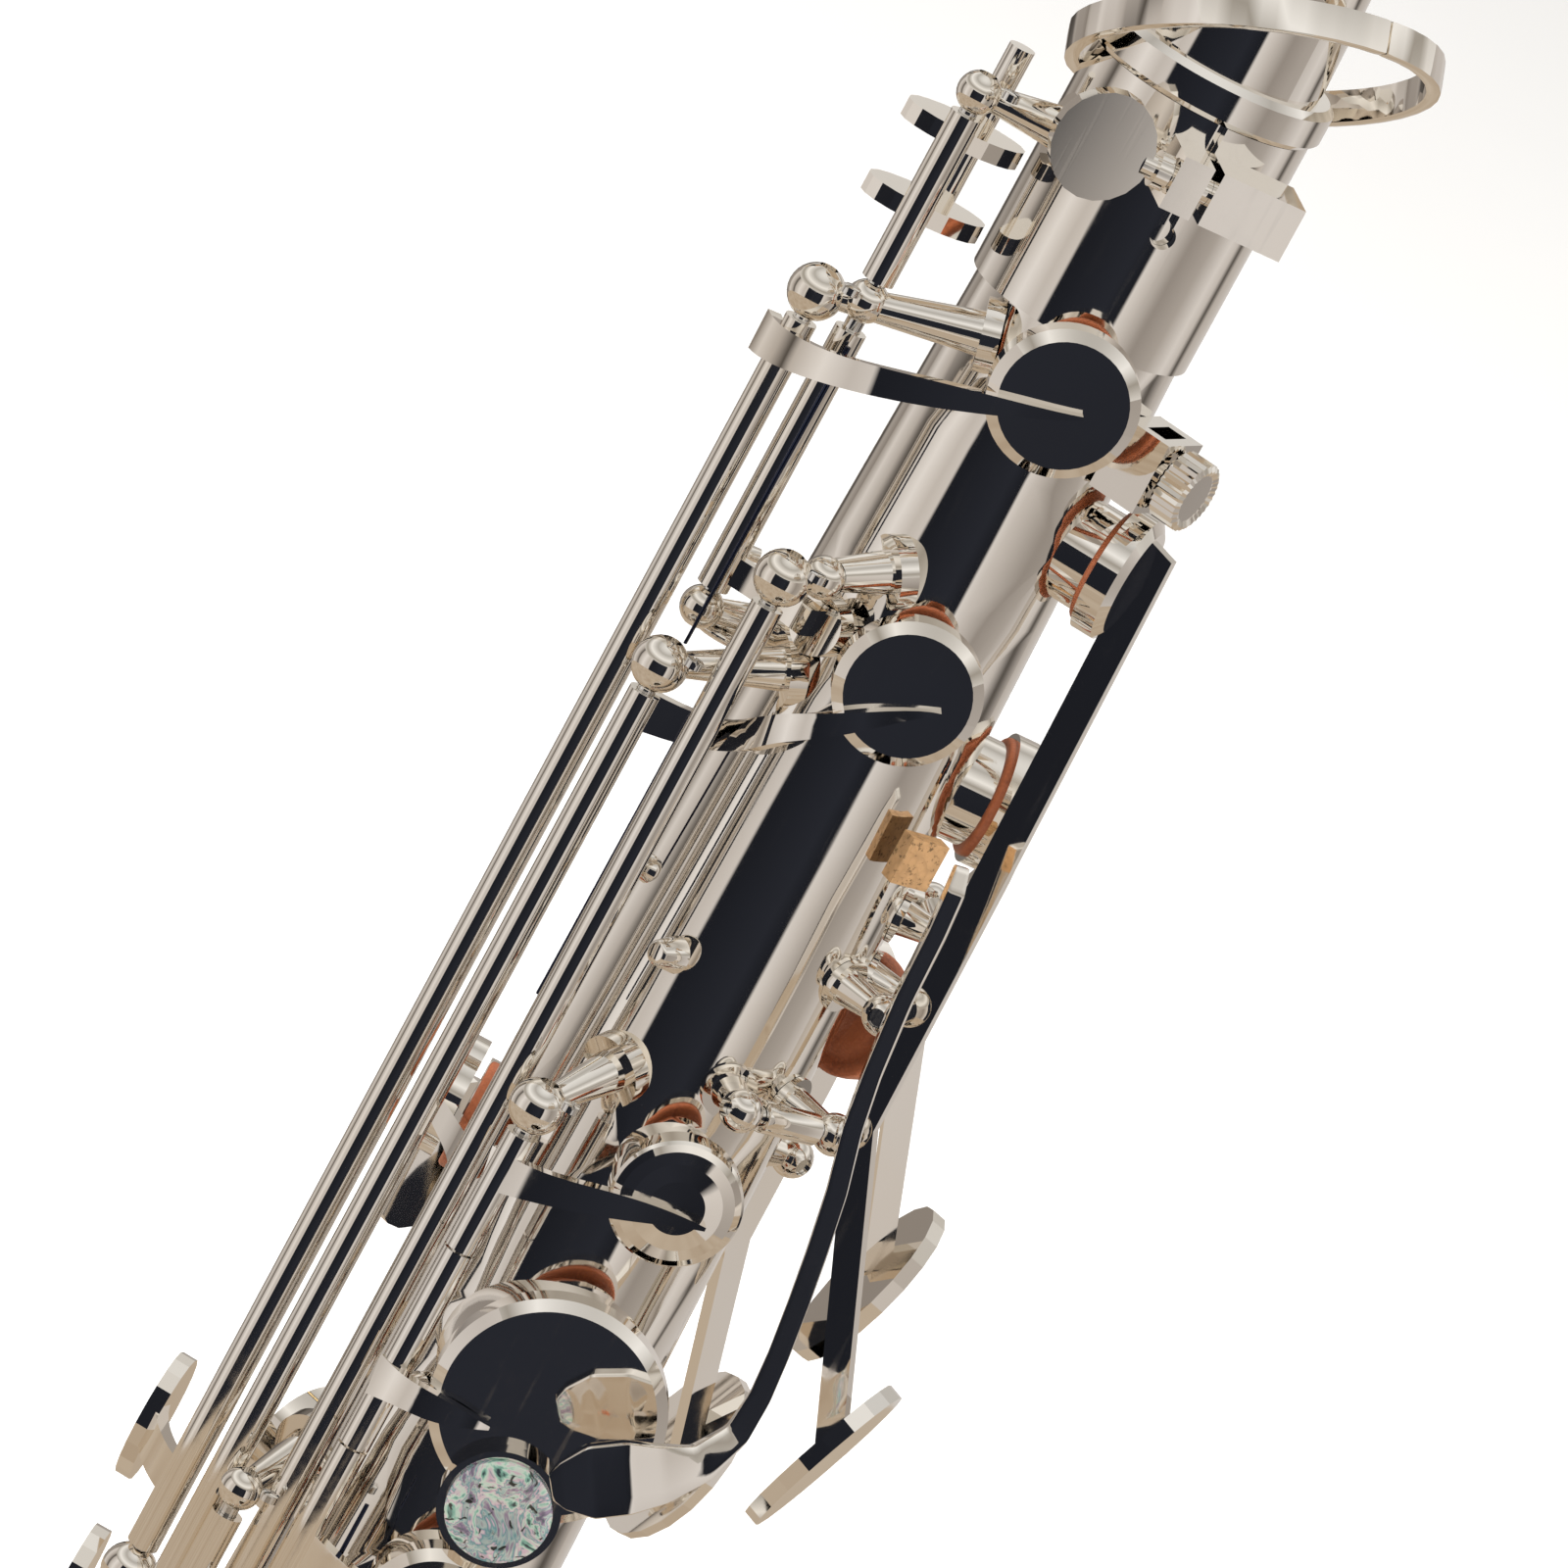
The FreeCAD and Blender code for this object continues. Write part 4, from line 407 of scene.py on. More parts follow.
def patina_group():
    """A mask of thin yellowed areas and of fingerprints' haze."""
    group, start, end = new_group(
        "Patina",
        [("Scale", "NodeSocketFloat", 30.0), ("Amount", "NodeSocketFloat", 0.5)],
        [("Yellowing", "NodeSocketFloat"), ("Haze", "NodeSocketFloat")])
    cloud = group.nodes.new("ShaderNodeTexNoise")
    cloud.inputs["Detail"].default_value = 4.0
    group.links.new(object_point(group), cloud.inputs["Vector"])
    group.links.new(start.outputs["Scale"], cloud.inputs["Scale"])
    yellow = steps(group, cloud.outputs["Fac"], 0.42, 0.72)
    yellow = math_node(group, "MULTIPLY", yellow, start.outputs["Amount"], clamp=True)
    haze = steps(group, noise(group, object_point(group), 210.0, 4.0, 0.65), 0.5, 0.72)
    haze = math_node(group, "MULTIPLY", haze, start.outputs["Amount"], clamp=True)
    group.links.new(yellow, end.inputs["Yellowing"])
    group.links.new(haze, end.inputs["Haze"])
    return group


def grain_group():
    """Fine pores for leather and cork."""
    group, start, end = new_group(
        "Pores",
        [("Scale", "NodeSocketFloat", 900.0), ("Depth", "NodeSocketFloat", 0.5)],
        [("Pores", "NodeSocketFloat"), ("Height", "NodeSocketFloat")])
    cells = group.nodes.new("ShaderNodeTexVoronoi")
    cells.feature = "F1"
    group.links.new(object_point(group), cells.inputs["Vector"])
    group.links.new(start.outputs["Scale"], cells.inputs["Scale"])
    pores = steps(group, cells.outputs["Distance"], 0.25, 0.75)
    mottle = noise(group, object_point(group), 420.0, 4.0, 0.6)
    both = math_node(group, "MULTIPLY", pores, mottle)
    height = math_node(group, "MULTIPLY", both, start.outputs["Depth"])
    group.links.new(both, end.inputs["Pores"])
    group.links.new(height, end.inputs["Height"])
    return group


def placed_group(tree, group, **values):
    node = tree.nodes.new("ShaderNodeGroup")
    node.node_tree = group
    for label, value in values.items():
        node.inputs[label].default_value = value
    return node


def bump(tree, height, shader, strength, distance):
    node = tree.nodes.new("ShaderNodeBump")
    node.inputs["Strength"].default_value = strength
    node.inputs["Distance"].default_value = distance
    tree.links.new(height, node.inputs["Height"])
    tree.links.new(node.outputs["Normal"], shader.inputs["Normal"])


def new_material(name):
    material = bpy.data.materials.new(name)
    material.use_nodes = True
    shader = material.node_tree.nodes["Principled BSDF"]
    return material, material.node_tree, shader


FINISH = {}
GROUPS = {}


def plated_metal(name, polish, yellow, wave, colours):
    """Polished plating: hairlines and haze in the gloss, a slow wave in the surface."""
    silver, tarnish, scratch = colours
    material, tree, shader = new_material(name)
    hair = placed_group(tree, GROUPS["hairlines"], Strength=scratch)
    patina = placed_group(tree, GROUPS["patina"], Scale=26.0, Amount=yellow)
    colour = blend_colours(tree, patina.outputs["Yellowing"], silver, tarnish)
    tree.links.new(colour, shader.inputs["Base Color"])
    rough = math_node(tree, "MULTIPLY", hair.outputs["Mask"], 0.16)
    rough = math_node(tree, "ADD", rough, math_node(tree, "MULTIPLY", patina.outputs["Haze"], 0.07))
    rough = math_node(tree, "ADD", rough, polish)
    tree.links.new(rough, shader.inputs["Roughness"])
    shader.inputs["Metallic"].default_value = 1.0
    bump(tree, hair.outputs["Height"], shader, 0.35, wave)
    return material


def leather(name, light, dark):
    material, tree, shader = new_material(name)
    pores = placed_group(tree, GROUPS["pores"], Scale=2300.0, Depth=0.6)
    mottle = steps(tree, noise(tree, object_point(tree), 240.0, 3.0), 0.35, 0.7)
    shade = math_node(tree, "MULTIPLY", mottle, pores.outputs["Pores"])
    tree.links.new(blend_colours(tree, shade, light, dark), shader.inputs["Base Color"])
    rough = math_node(tree, "ADD", math_node(tree, "MULTIPLY", mottle, 0.16), 0.38)
    tree.links.new(rough, shader.inputs["Roughness"])
    shader.inputs["Specular IOR Level"].default_value = 0.45
    bump(tree, pores.outputs["Height"], shader, 0.35, 0.0002)
    return material


def cork(name, colour):
    material, tree, shader = new_material(name)
    pores = placed_group(tree, GROUPS["pores"], Scale=900.0, Depth=1.0)
    specks = steps(tree, noise(tree, object_point(tree), 1300.0, 3.0, 0.7), 0.56, 0.66)
    dark = tuple(part * 0.32 for part in colour)
    base = blend_colours(tree, pores.outputs["Pores"], colour, tuple(part * 0.72 for part in colour))
    tree.links.new(blend_colours(tree, specks, base, dark), shader.inputs["Base Color"])
    tree.links.new(math_node(tree, "ADD", math_node(tree, "MULTIPLY", specks, 0.15), 0.72),
                   shader.inputs["Roughness"])
    bump(tree, pores.outputs["Height"], shader, 0.5, 0.0004)
    return material


def abalone(name):
    """Shell with swirling bands of green, pink and grey under a gloss coat."""
    material, tree, shader = new_material(name)
    place = object_point(tree, (1.0, 1.0, 1.0), (0.4, 0.2, 0.9))
    swirl = noise(tree, place, 165.0, 3.0, 0.62, 2.6)
    ramp = tree.nodes.new("ShaderNodeValToRGB")
    bands = (
        (0.30, (0.030, 0.045, 0.050)), (0.38, (0.20, 0.38, 0.30)), (0.43, (0.50, 0.60, 0.50)),
        (0.48, (0.62, 0.44, 0.50)), (0.52, (0.16, 0.34, 0.36)), (0.57, (0.58, 0.66, 0.60)),
        (0.63, (0.40, 0.28, 0.42)), (0.72, (0.10, 0.20, 0.17)))
    ramp.color_ramp.elements.remove(ramp.color_ramp.elements[1])
    for number, (place_on_ramp, colour) in enumerate(bands):
        if number == 0:
            element = ramp.color_ramp.elements[0]
            element.position = place_on_ramp
        else:
            element = ramp.color_ramp.elements.new(place_on_ramp)
        element.color = (*colour, 1.0)
    tree.links.new(swirl, ramp.inputs["Fac"])
    veins = steps(tree, noise(tree, place, 420.0, 2.0, 0.5, 1.8), 0.60, 0.66)
    colour = blend_colours(tree, veins, ramp.outputs["Color"], (0.035, 0.04, 0.035))
    tree.links.new(colour, shader.inputs["Base Color"])
    tree.links.new(math_node(tree, "MULTIPLY", steps(tree, swirl, 0.35, 0.6), 0.55),
                   shader.inputs["Metallic"])
    tree.links.new(math_node(tree, "ADD", math_node(tree, "MULTIPLY", veins, 0.2), 0.22),
                   shader.inputs["Roughness"])
    shader.inputs["Coat Weight"].default_value = 1.0
    shader.inputs["Coat Roughness"].default_value = 0.03
    return material


def fibrous(name, light, dark, rough, stretch):
    """Cane and hard rubber: a grain that runs along the mouthpiece."""
    material, tree, shader = new_material(name)
    fibres = noise(tree, object_point(tree, stretch), 1.0, 3.0, 0.6)
    share = steps(tree, fibres, 0.35, 0.68)
    tree.links.new(blend_colours(tree, share, light, dark), shader.inputs["Base Color"])
    tree.links.new(math_node(tree, "ADD", math_node(tree, "MULTIPLY", share, 0.14), rough),
                   shader.inputs["Roughness"])
    bump(tree, fibres, shader, 0.18, 0.0002)
    return material


def drawn_steel(name, colour, rough):
    """Steel rod or wire with draw lines along it."""
    material, tree, shader = new_material(name)
    lines = noise(tree, object_point(tree, (2600.0, 2600.0, 40.0)), 1.0, 2.0)
    haze = steps(tree, noise(tree, object_point(tree), 130.0, 3.0), 0.4, 0.7)
    tree.links.new(blend_colours(tree, haze, colour, tuple(part * 0.8 for part in colour)),
                   shader.inputs["Base Color"])
    tree.links.new(math_node(tree, "ADD", math_node(tree, "MULTIPLY", lines, 0.09), rough),
                   shader.inputs["Roughness"])
    shader.inputs["Metallic"].default_value = 1.0
    bump(tree, lines, shader, 0.08, 0.0001)
    return material


class SAX_OT_finishes(bpy.types.Operator):
    """Makes the finishes and puts them on the carried-over pieces"""

    bl_idname = "sax.finishes"
    bl_label = "Finishes"

    def execute(self, context):
        look = context.scene.sax_finish
        GROUPS["hairlines"] = hairline_group()
        GROUPS["patina"] = patina_group()
        GROUPS["pores"] = grain_group()
        silver = tuple(look.silver)
        tarnish = tuple(look.tarnish)
        colours = (silver, tarnish, look.scratch)
        FINISH["silver_body"] = plated_metal("silver_body", 0.045, 0.35, 0.00022, colours)
        FINISH["silver_keys"] = plated_metal("silver_keys", 0.03, 0.5, 0.00005, colours)
        FINISH["ligature_metal"] = plated_metal("ligature_metal", 0.07, 0.6, 0.00005, colours)
        FINISH["steel"] = drawn_steel("steel", (0.88, 0.87, 0.85), 0.07)
        FINISH["blued_steel"] = drawn_steel("blued_steel", (0.035, 0.045, 0.085), 0.2)
        FINISH["pad_leather"] = leather("pad_leather", tuple(look.leather), tuple(look.leather_dark))
        FINISH["cork"] = cork("cork", tuple(look.cork))
        FINISH["pearl"] = abalone("pearl")
        FINISH["ebonite"] = fibrous("ebonite", (0.018, 0.017, 0.016), (0.032, 0.028, 0.024), 0.16,
                                    (700.0, 700.0, 90.0))
        FINISH["cane"] = fibrous("cane", (0.72, 0.56, 0.30), (0.50, 0.35, 0.15), 0.42,
                                 (2200.0, 90.0, 2200.0))
        for entry in frame["record"]["subparts"]:
            mesh = NODES[entry["node"]].data
            mesh.materials.clear()
            mesh.materials.append(FINISH[entry["material_slot"]])
        return {"FINISHED"}


# ------------------------------------------------------------------ places on the instrument

TUBE_FOOT_RADIUS = 0.02504
TUBE_TAPER = 0.0272
RING_HEIGHT = 0.205
STACK_TURN = math.radians(-30.0)
JOINTS = {joint["name"]: joint for joint in frame["joints"]}


def outward(azimuth):
    """The level direction away from the tube, counted from the row of stack keys."""
    turned = math.radians(azimuth) + STACK_TURN
    return Vector((math.sin(turned), -math.cos(turned), 0.0))


def sideways(azimuth):
    turned = math.radians(azimuth) + STACK_TURN
    return Vector((math.cos(turned), math.sin(turned), 0.0))


def on_tube(azimuth, distance, height):
    """A point by azimuth in degrees, distance from the tube's axis and height over the bow joint, in mm."""
    return TUBE_AXIS + outward(azimuth) * distance * MM + UP * (height * MM - RING_HEIGHT)


def tube_radius(height):
    """The tube's outside radius at a height in mm over the bow joint, in mm."""
    return (TUBE_FOOT_RADIUS - TUBE_TAPER * height * MM) / MM


# Cups whose pads are made here: azimuth, height and cup radius in mm, and how far the cup stands open.
CUPS = {
    "key_side_c": (-106.0, 329.0, 7.6, 0.0),
    "key_side_b_flat": (-106.0, 218.0, 9.0, 0.0),
    "key_a": (0.0, 252.0, 13.0, 9.0),
    "key_g": (0.0, 221.5, 14.5, 9.0),
    "key_f_sharp": (0.0, 185.0, 15.3, 9.0),
    "key_f": (0.0, 151.0, 16.0, 9.0),
    "key_e": (0.0, 115.5, 16.5, 9.0),
    "key_d": (0.0, 79.0, 17.0, 9.0),
    "key_g_sharp": (98.0, 203.0, 13.0, 0.0),
    "key_low_e_flat": (-101.0, 46.0, 14.5, 0.0),
    "key_low_c": (-20.0, 28.0, 17.0, 9.0),
    "key_palm_d": (122.0, 358.0, 8.6, 0.0),
}
PAD_THICKNESS = 3.2
PAD_GAP = 0.1
CUP_WALL = 0.7


def swung(key, point, direction, angle):
    """A point and a direction turned about a key's hinge."""
    joint = JOINTS[key + "_turn"]
    pivot = Vector(joint["pos_m"])
    turn = Matrix.Rotation(math.radians(angle), 3, Vector(joint["axis"]))
    return pivot + turn @ (point - pivot), turn @ direction


# ------------------------------------------------------------------ leather pads

def model_pad(name, radius, thickness, rim, settings):
    """A leather pad about the origin: its face looks down, pressed in by the tone hole's rim."""
    deselect()
    bpy.ops.mesh.primitive_cylinder_add(vertices=64, radius=radius, depth=thickness, end_fill_type="NGON")
    pad = named(name)
    edit()
    choose_faces(pad, lambda face: abs(face.normal.z) < 0.5)
    bpy.ops.mesh.subdivide(number_cuts=1)
    choose_edges(pad, lambda edge: all(abs(v.co.z) < thickness * 0.1 for v in edge.verts))
    bpy.ops.transform.resize(value=(1.012, 1.012, 1.0))
    face_width = radius - rim
    for inset, lift in (
            (face_width * 0.45, -0.10 * MM),
            (face_width * 0.35, 0.0),
            (face_width * 0.20, settings.crease_depth),
            (settings.crease_width, 0.0),
            (settings.crease_width * 0.6, -settings.crease_depth * 1.2),
            (rim * 0.30, -0.12 * MM)):
        choose_faces(pad, lambda face: face.normal.z < -0.9 and len(face.verts) > 8)
        bpy.ops.mesh.inset(thickness=inset, depth=0.0)
        if lift:
            bpy.ops.transform.translate(value=(0.0, 0.0, lift))
    leave_edit()
    bevelled(pad, settings.edge_round, 3, 50.0)
    smooth(pad, 50.0)
    return pad


def finish_piece(obj, finish, body, replaced=None):
    obj.data.materials.clear()
    obj.data.materials.append(FINISH[finish])
    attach(obj, body)
    if replaced:
        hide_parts(replaced)


class SAX_OT_pads(bpy.types.Operator):
    """Makes the leather pads, each with the ring that its tone hole has pressed into it"""

    bl_idname = "sax.pads"
    bl_label = "Leather pads"

    def execute(self, context):
        settings = context.scene.sax_pads
        for node in sorted(NODES):
            if not node.startswith("pad_"):
                continue
            centre, axis, radius, thickness = disc_frame(node)
            pad = model_pad("leather_" + node, radius, thickness, radius - 1.7 * MM, settings)
            settle(pad, lined_up(centre, axis))
            finish_piece(pad, "pad_leather", NODES[node]["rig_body"], node)
        for key, (azimuth, height, cup, opened) in CUPS.items():
            rise = 2.6 if cup < 10.0 else 2.4
            face = tube_radius(height) + rise + PAD_GAP
            radius = (cup - CUP_WALL - 0.05) * MM
            centre = on_tube(azimuth, face + PAD_THICKNESS / 2, height)
            centre, axis = swung(key, centre, outward(azimuth), opened)
            pad = model_pad("leather_" + key, radius, PAD_THICKNESS * MM, radius - 1.7 * MM, settings)
            settle(pad, lined_up(centre, axis))
            finish_piece(pad, "pad_leather", key)
        return {"FINISHED"}


# ------------------------------------------------------------------ pearl touches

class SAX_OT_pearls(bpy.types.Operator):
    """Sets an abalone disc, lightly dished for the finger, in each pearl holder"""

    bl_idname = "sax.pearls"
    bl_label = "Pearl touches"

    def execute(self, context):
        settings = context.scene.sax_pearls
        for node in sorted(NODES):
            if not node.startswith("pearl_"):
                continue
            centre, axis, radius, thickness = disc_frame(node)
            deselect()
            bpy.ops.mesh.primitive_cylinder_add(vertices=64, radius=radius, depth=thickness,
                                                end_fill_type="NGON")
            pearl = named("abalone_" + node)
            edit()
            for inset, lift in ((radius * 0.10, 0.22 * MM), (radius * 0.16, 0.08 * MM),
                                (radius * 0.24, -settings.dish * 0.55),
                                (radius * 0.25, -settings.dish * 0.45)):
                choose_faces(pearl, lambda face: face.normal.z > 0.9 and len(face.verts) > 8)
                bpy.ops.mesh.inset(thickness=inset, depth=0.0)
                bpy.ops.transform.translate(value=(0.0, 0.0, lift))
            leave_edit()
            smooth(pearl, 50.0)
            settle(pearl, lined_up(centre, axis))
            finish_piece(pearl, "pearl", NODES[node]["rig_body"], node)
        return {"FINISHED"}


# ------------------------------------------------------------------ needle springs and spring posts

# Needle springs: body that they push, azimuth, distance, height at the post and length in mm.
# A length below 0 runs downwards.
SPRINGS = (
    ("key_high_f_sharp", -84.0, 27.2, 435.0, -40.0),
    ("key_high_e", -72.5, 25.2, 388.6, -38.0),
    ("key_side_c", -55.0, 22.3, 214.0, 40.0),
    ("key_side_b_flat", -62.5, 25.8, 191.6, 36.0),
    ("key_bis", -42.0, 23.6, 268.0, 20.0),
    ("key_g", -42.0, 23.6, 206.0, 26.0),
    ("key_f", -44.0, 28.0, 136.0, 28.0),
    ("key_e", -44.0, 28.0, 129.6, -26.0),
    ("key_d", -44.0, 28.0, 63.6, 30.0),
    ("key_g_sharp", 62.0, 26.0, 216.6, -22.0),
    ("key_low_e_flat", -64.0, 29.8, 58.4, -20.0),
    ("key_high_e", -95.0, 20.6, 386.0, -19.0),
)

# Short studs on the tube that springs and levers bear on: azimuth and height in mm.
STUDS = ((-95.0, 367.0), (-54.0, 362.0), (-60.0, 300.0), (70.0, 250.0))


class SAX_OT_springs(bpy.types.Operator):
    """Makes the blued needle springs and the studs that they work on"""

    bl_idname = "sax.springs"
    bl_label = "Needle springs"

    def execute(self, context):
        settings = context.scene.sax_springs
        for number, (key, azimuth, distance, height, length) in enumerate(SPRINGS, start=1):
            deselect()
            bpy.ops.mesh.primitive_cylinder_add(vertices=10, radius=settings.wire / 2, depth=abs(length) * MM,
                                                end_fill_type="NGON")
            spring = named(f"needle_spring_{number}")
            edit("VERT")
            choose_faces(spring, lambda face: face.normal.z > 0.9)
            bpy.ops.transform.resize(value=(settings.point, settings.point, 1.0))
            bpy.ops.mesh.inset(thickness=settings.wire * 0.05, depth=0.0)
            bpy.ops.transform.translate(value=(0.0, 0.0, settings.wire * 0.6))
            leave_edit()
            smooth(spring, 40.0)
            way = UP if length > 0 else -UP
            middle = on_tube(azimuth, distance, height + length / 2)
            settle(spring, lined_up(middle, way + outward(azimuth) * 0.01, outward(azimuth)))
            finish_piece(spring, "blued_steel", "body")
        for number, (azimuth, height) in enumerate(STUDS, start=1):
            base = tube_radius(height) - 0.25
            deselect()
            bpy.ops.mesh.primitive_cylinder_add(vertices=32, radius=1.5 * MM, depth=settings.stud_height,
                                                end_fill_type="NGON")
            stud = named(f"spring_stud_{number}")
            edit()
            choose_faces(stud, lambda face: face.normal.z > 0.9)
            bpy.ops.mesh.inset(thickness=0.35 * MM, depth=0.0)
            bpy.ops.transform.translate(value=(0.0, 0.0, 0.3 * MM))
            choose_faces(stud, lambda face: face.normal.z < -0.9)
            bpy.ops.transform.resize(value=(1.5, 1.5, 1.0))
            leave_edit()
            bevelled(stud, 0.12 * MM, 2)
            smooth(stud)
            middle = on_tube(azimuth, base, height) + outward(azimuth) * settings.stud_height / 2
            settle(stud, lined_up(middle, outward(azimuth)))
            finish_piece(stud, "silver_keys", "body")
        return {"FINISHED"}


# ------------------------------------------------------------------ pivot screws

# The upper ends of the hinge lines: azimuth, distance and height of the ball's middle, and its radius, in mm.
PIVOTS = (
    (-84.0, 30.0, 438.3, 3.4), (-72.5, 28.0, 391.9, 3.4), (-80.0, 24.8, 467.6, 2.6),
    (-55.0, 25.0, 408.9, 3.4), (-62.5, 28.6, 280.3, 2.6), (-42.0, 26.5, 340.6, 3.4),
    (-172.0, 23.5, 332.9, 2.6), (-44.0, 31.0, 195.0, 3.4), (62.0, 29.0, 219.7, 3.4),
    (-64.0, 33.0, 61.7, 3.4),
)


def model_screw(name, radius, slot_width):
    """A round screw head about the origin, with a slot across it."""
    deselect()
    bpy.ops.mesh.primitive_cylinder_add(vertices=40, radius=radius, depth=0.9 * MM, end_fill_type="NGON")
    head = named(name)
    edit()
    choose_faces(head, lambda face: face.normal.z > 0.9)
    bpy.ops.mesh.inset(thickness=radius * 0.16, depth=0.0)
    bpy.ops.transform.translate(value=(0.0, 0.0, 0.1 * MM))
    leave_edit()
    bpy.ops.mesh.primitive_cube_add(size=1.0, location=(0.0, 0.0, 0.55 * MM),
                                    scale=(radius * 3.0, slot_width, 0.6 * MM))
    cutter = named(name + "_cutter")
    pick(head)
    cut = head.modifiers.new("Slot", "BOOLEAN")
    cut.operation = "DIFFERENCE"
    cut.solver = "EXACT"
    cut.object = cutter
    bpy.ops.object.modifier_apply(modifier="Slot")
    bpy.data.objects.remove(cutter)
    smooth(head)
    return head


class SAX_OT_screws(bpy.types.Operator):
    """Puts slotted pivot screws in the ends of the hinge lines"""

    bl_idname = "sax.screws"
    bl_label = "Pivot screws"

    def execute(self, context):
        width = context.scene.sax_springs.slot
        for number, (azimuth, distance, height, ball) in enumerate(PIVOTS, start=1):
            screw = model_screw(f"pivot_screw_{number}", 1.08 * MM, width)
            turn = outward(azimuth + 37.0 * number)
            settle(screw, lined_up(on_tube(azimuth, distance, height + ball - 0.45), UP, turn))
            finish_piece(screw, "steel", "body")
        return {"FINISHED"}


# ------------------------------------------------------------------ knurled screws

def model_knob(name, radius, height, teeth, dish):
    """A knurled thumb screw's head about the origin."""
    deselect()
    bpy.ops.mesh.primitive_cylinder_add(vertices=teeth * 2, radius=radius, depth=height, end_fill_type="NGON")
    knob = named(name)
    edit()

    def in_a_groove(edge):
        first, second = edge.verts
        if abs(first.co.z - second.co.z) < height * 0.5:
            return False
        step = round(math.atan2(first.co.y, first.co.x) / (math.pi / teeth))
        return step % 2 == 0

    bpy.ops.mesh.select_mode(type="EDGE")
    choose_edges(knob, in_a_groove)
    bpy.ops.transform.resize(value=(0.93, 0.93, 1.0))
    bpy.ops.mesh.select_mode(type="FACE")
    for side in (1.0, -1.0):
        choose_faces(knob, lambda face: face.normal.z * side > 0.9)
        bpy.ops.mesh.inset(thickness=radius * 0.10, depth=0.0)
        bpy.ops.transform.translate(value=(0.0, 0.0, side * height * 0.12))
        bpy.ops.mesh.inset(thickness=radius * 0.12, depth=0.0)
        bpy.ops.transform.translate(value=(0.0, 0.0, -side * dish))
    leave_edit()
    smooth(knob, 28.0)
    return knob


class SAX_OT_knobs(bpy.types.Operator):
    """Makes the knurled lyre screw and the ligature's two screws"""

    bl_idname = "sax.knobs"
    bl_label = "Knurled screws"

    def execute(self, context):
        lyre = JOINTS["lyre_screw_turn"]
        axis = Vector(lyre["axis"]).normalized()
        along = [Vector(corner.co).dot(axis) for corner in NODES["lyre_screw"].data.vertices]
        pivot = Vector(lyre["pos_m"])
        base = pivot - axis * pivot.dot(axis)
        height = 3.2 * MM
        knob = model_knob("lyre_thumb_screw", 4.4 * MM, height, 30, 0.35 * MM)
        settle(knob, lined_up(base + axis * (max(along) - height / 2), axis))
        deselect()
        bpy.ops.mesh.primitive_cylinder_add(vertices=32, radius=1.45 * MM,
                                            depth=max(along) - min(along) - height * 0.5,
                                            end_fill_type="NGON")
        shank = named("lyre_screw_shank")
        bevelled(shank, 0.2 * MM, 2)
        smooth(shank)
        settle(shank, lined_up(base + axis * ((max(along) + min(along)) / 2 - height * 0.25), axis))
        pick(knob)
        shank.select_set(True)
        bpy.ops.object.join()
        finish_piece(knob, "silver_keys", "lyre_screw", "lyre_screw")

        slide = Vector(JOINTS["mouthpiece_slide"]["axis"]).normalized()
        low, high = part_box("ligature")
        middle = (low + high) / 2
        below = slide.cross(Vector((1.0, 0.0, 0.0))).normalized()
        if below.z > 0:
            below = -below
        side = slide.cross(below).normalized()
        for number, shift in enumerate((-6.0, 6.0), start=1):
            screw = model_knob(f"ligature_screw_{number}", 3.3 * MM, 4.2 * MM, 18, 0.3 * MM)
            settle(screw, lined_up(middle + slide * shift * MM + below * 14.6 * MM + side * 6.6 * MM, side))
            finish_piece(screw, "ligature_metal", "mouthpiece")
            deselect()
            bpy.ops.mesh.primitive_cylinder_add(vertices=24, radius=1.3 * MM, depth=11.0 * MM,
                                                end_fill_type="NGON")
            stem = named(f"ligature_stem_{number}")
            bevelled(stem, 0.2 * MM, 2)
            smooth(stem)
            settle(stem, lined_up(middle + slide * shift * MM + below * 14.6 * MM, side))
            finish_piece(stem, "ligature_metal", "mouthpiece")
            for label, along_side in (("near", -3.0), ("far", 3.0)):
                deselect()
                bpy.ops.mesh.primitive_cylinder_add(vertices=28, radius=2.3 * MM, depth=2.4 * MM,
                                                    end_fill_type="NGON")
                lug = named(f"ligature_lug_{label}_{number}")
                bevelled(lug, 0.3 * MM, 2)
                smooth(lug)
                settle(lug, lined_up(middle + slide * shift * MM + below * 14.4 * MM
                                     + side * along_side * MM, side))
                finish_piece(lug, "ligature_metal", "mouthpiece")
        return {"FINISHED"}


# ------------------------------------------------------------------ rod guides

# The half-moon guides: azimuth, then distance and height in mm.
GUIDES = ((-104.0, 21.6, 404.5), (-104.0, 21.6, 396.5))


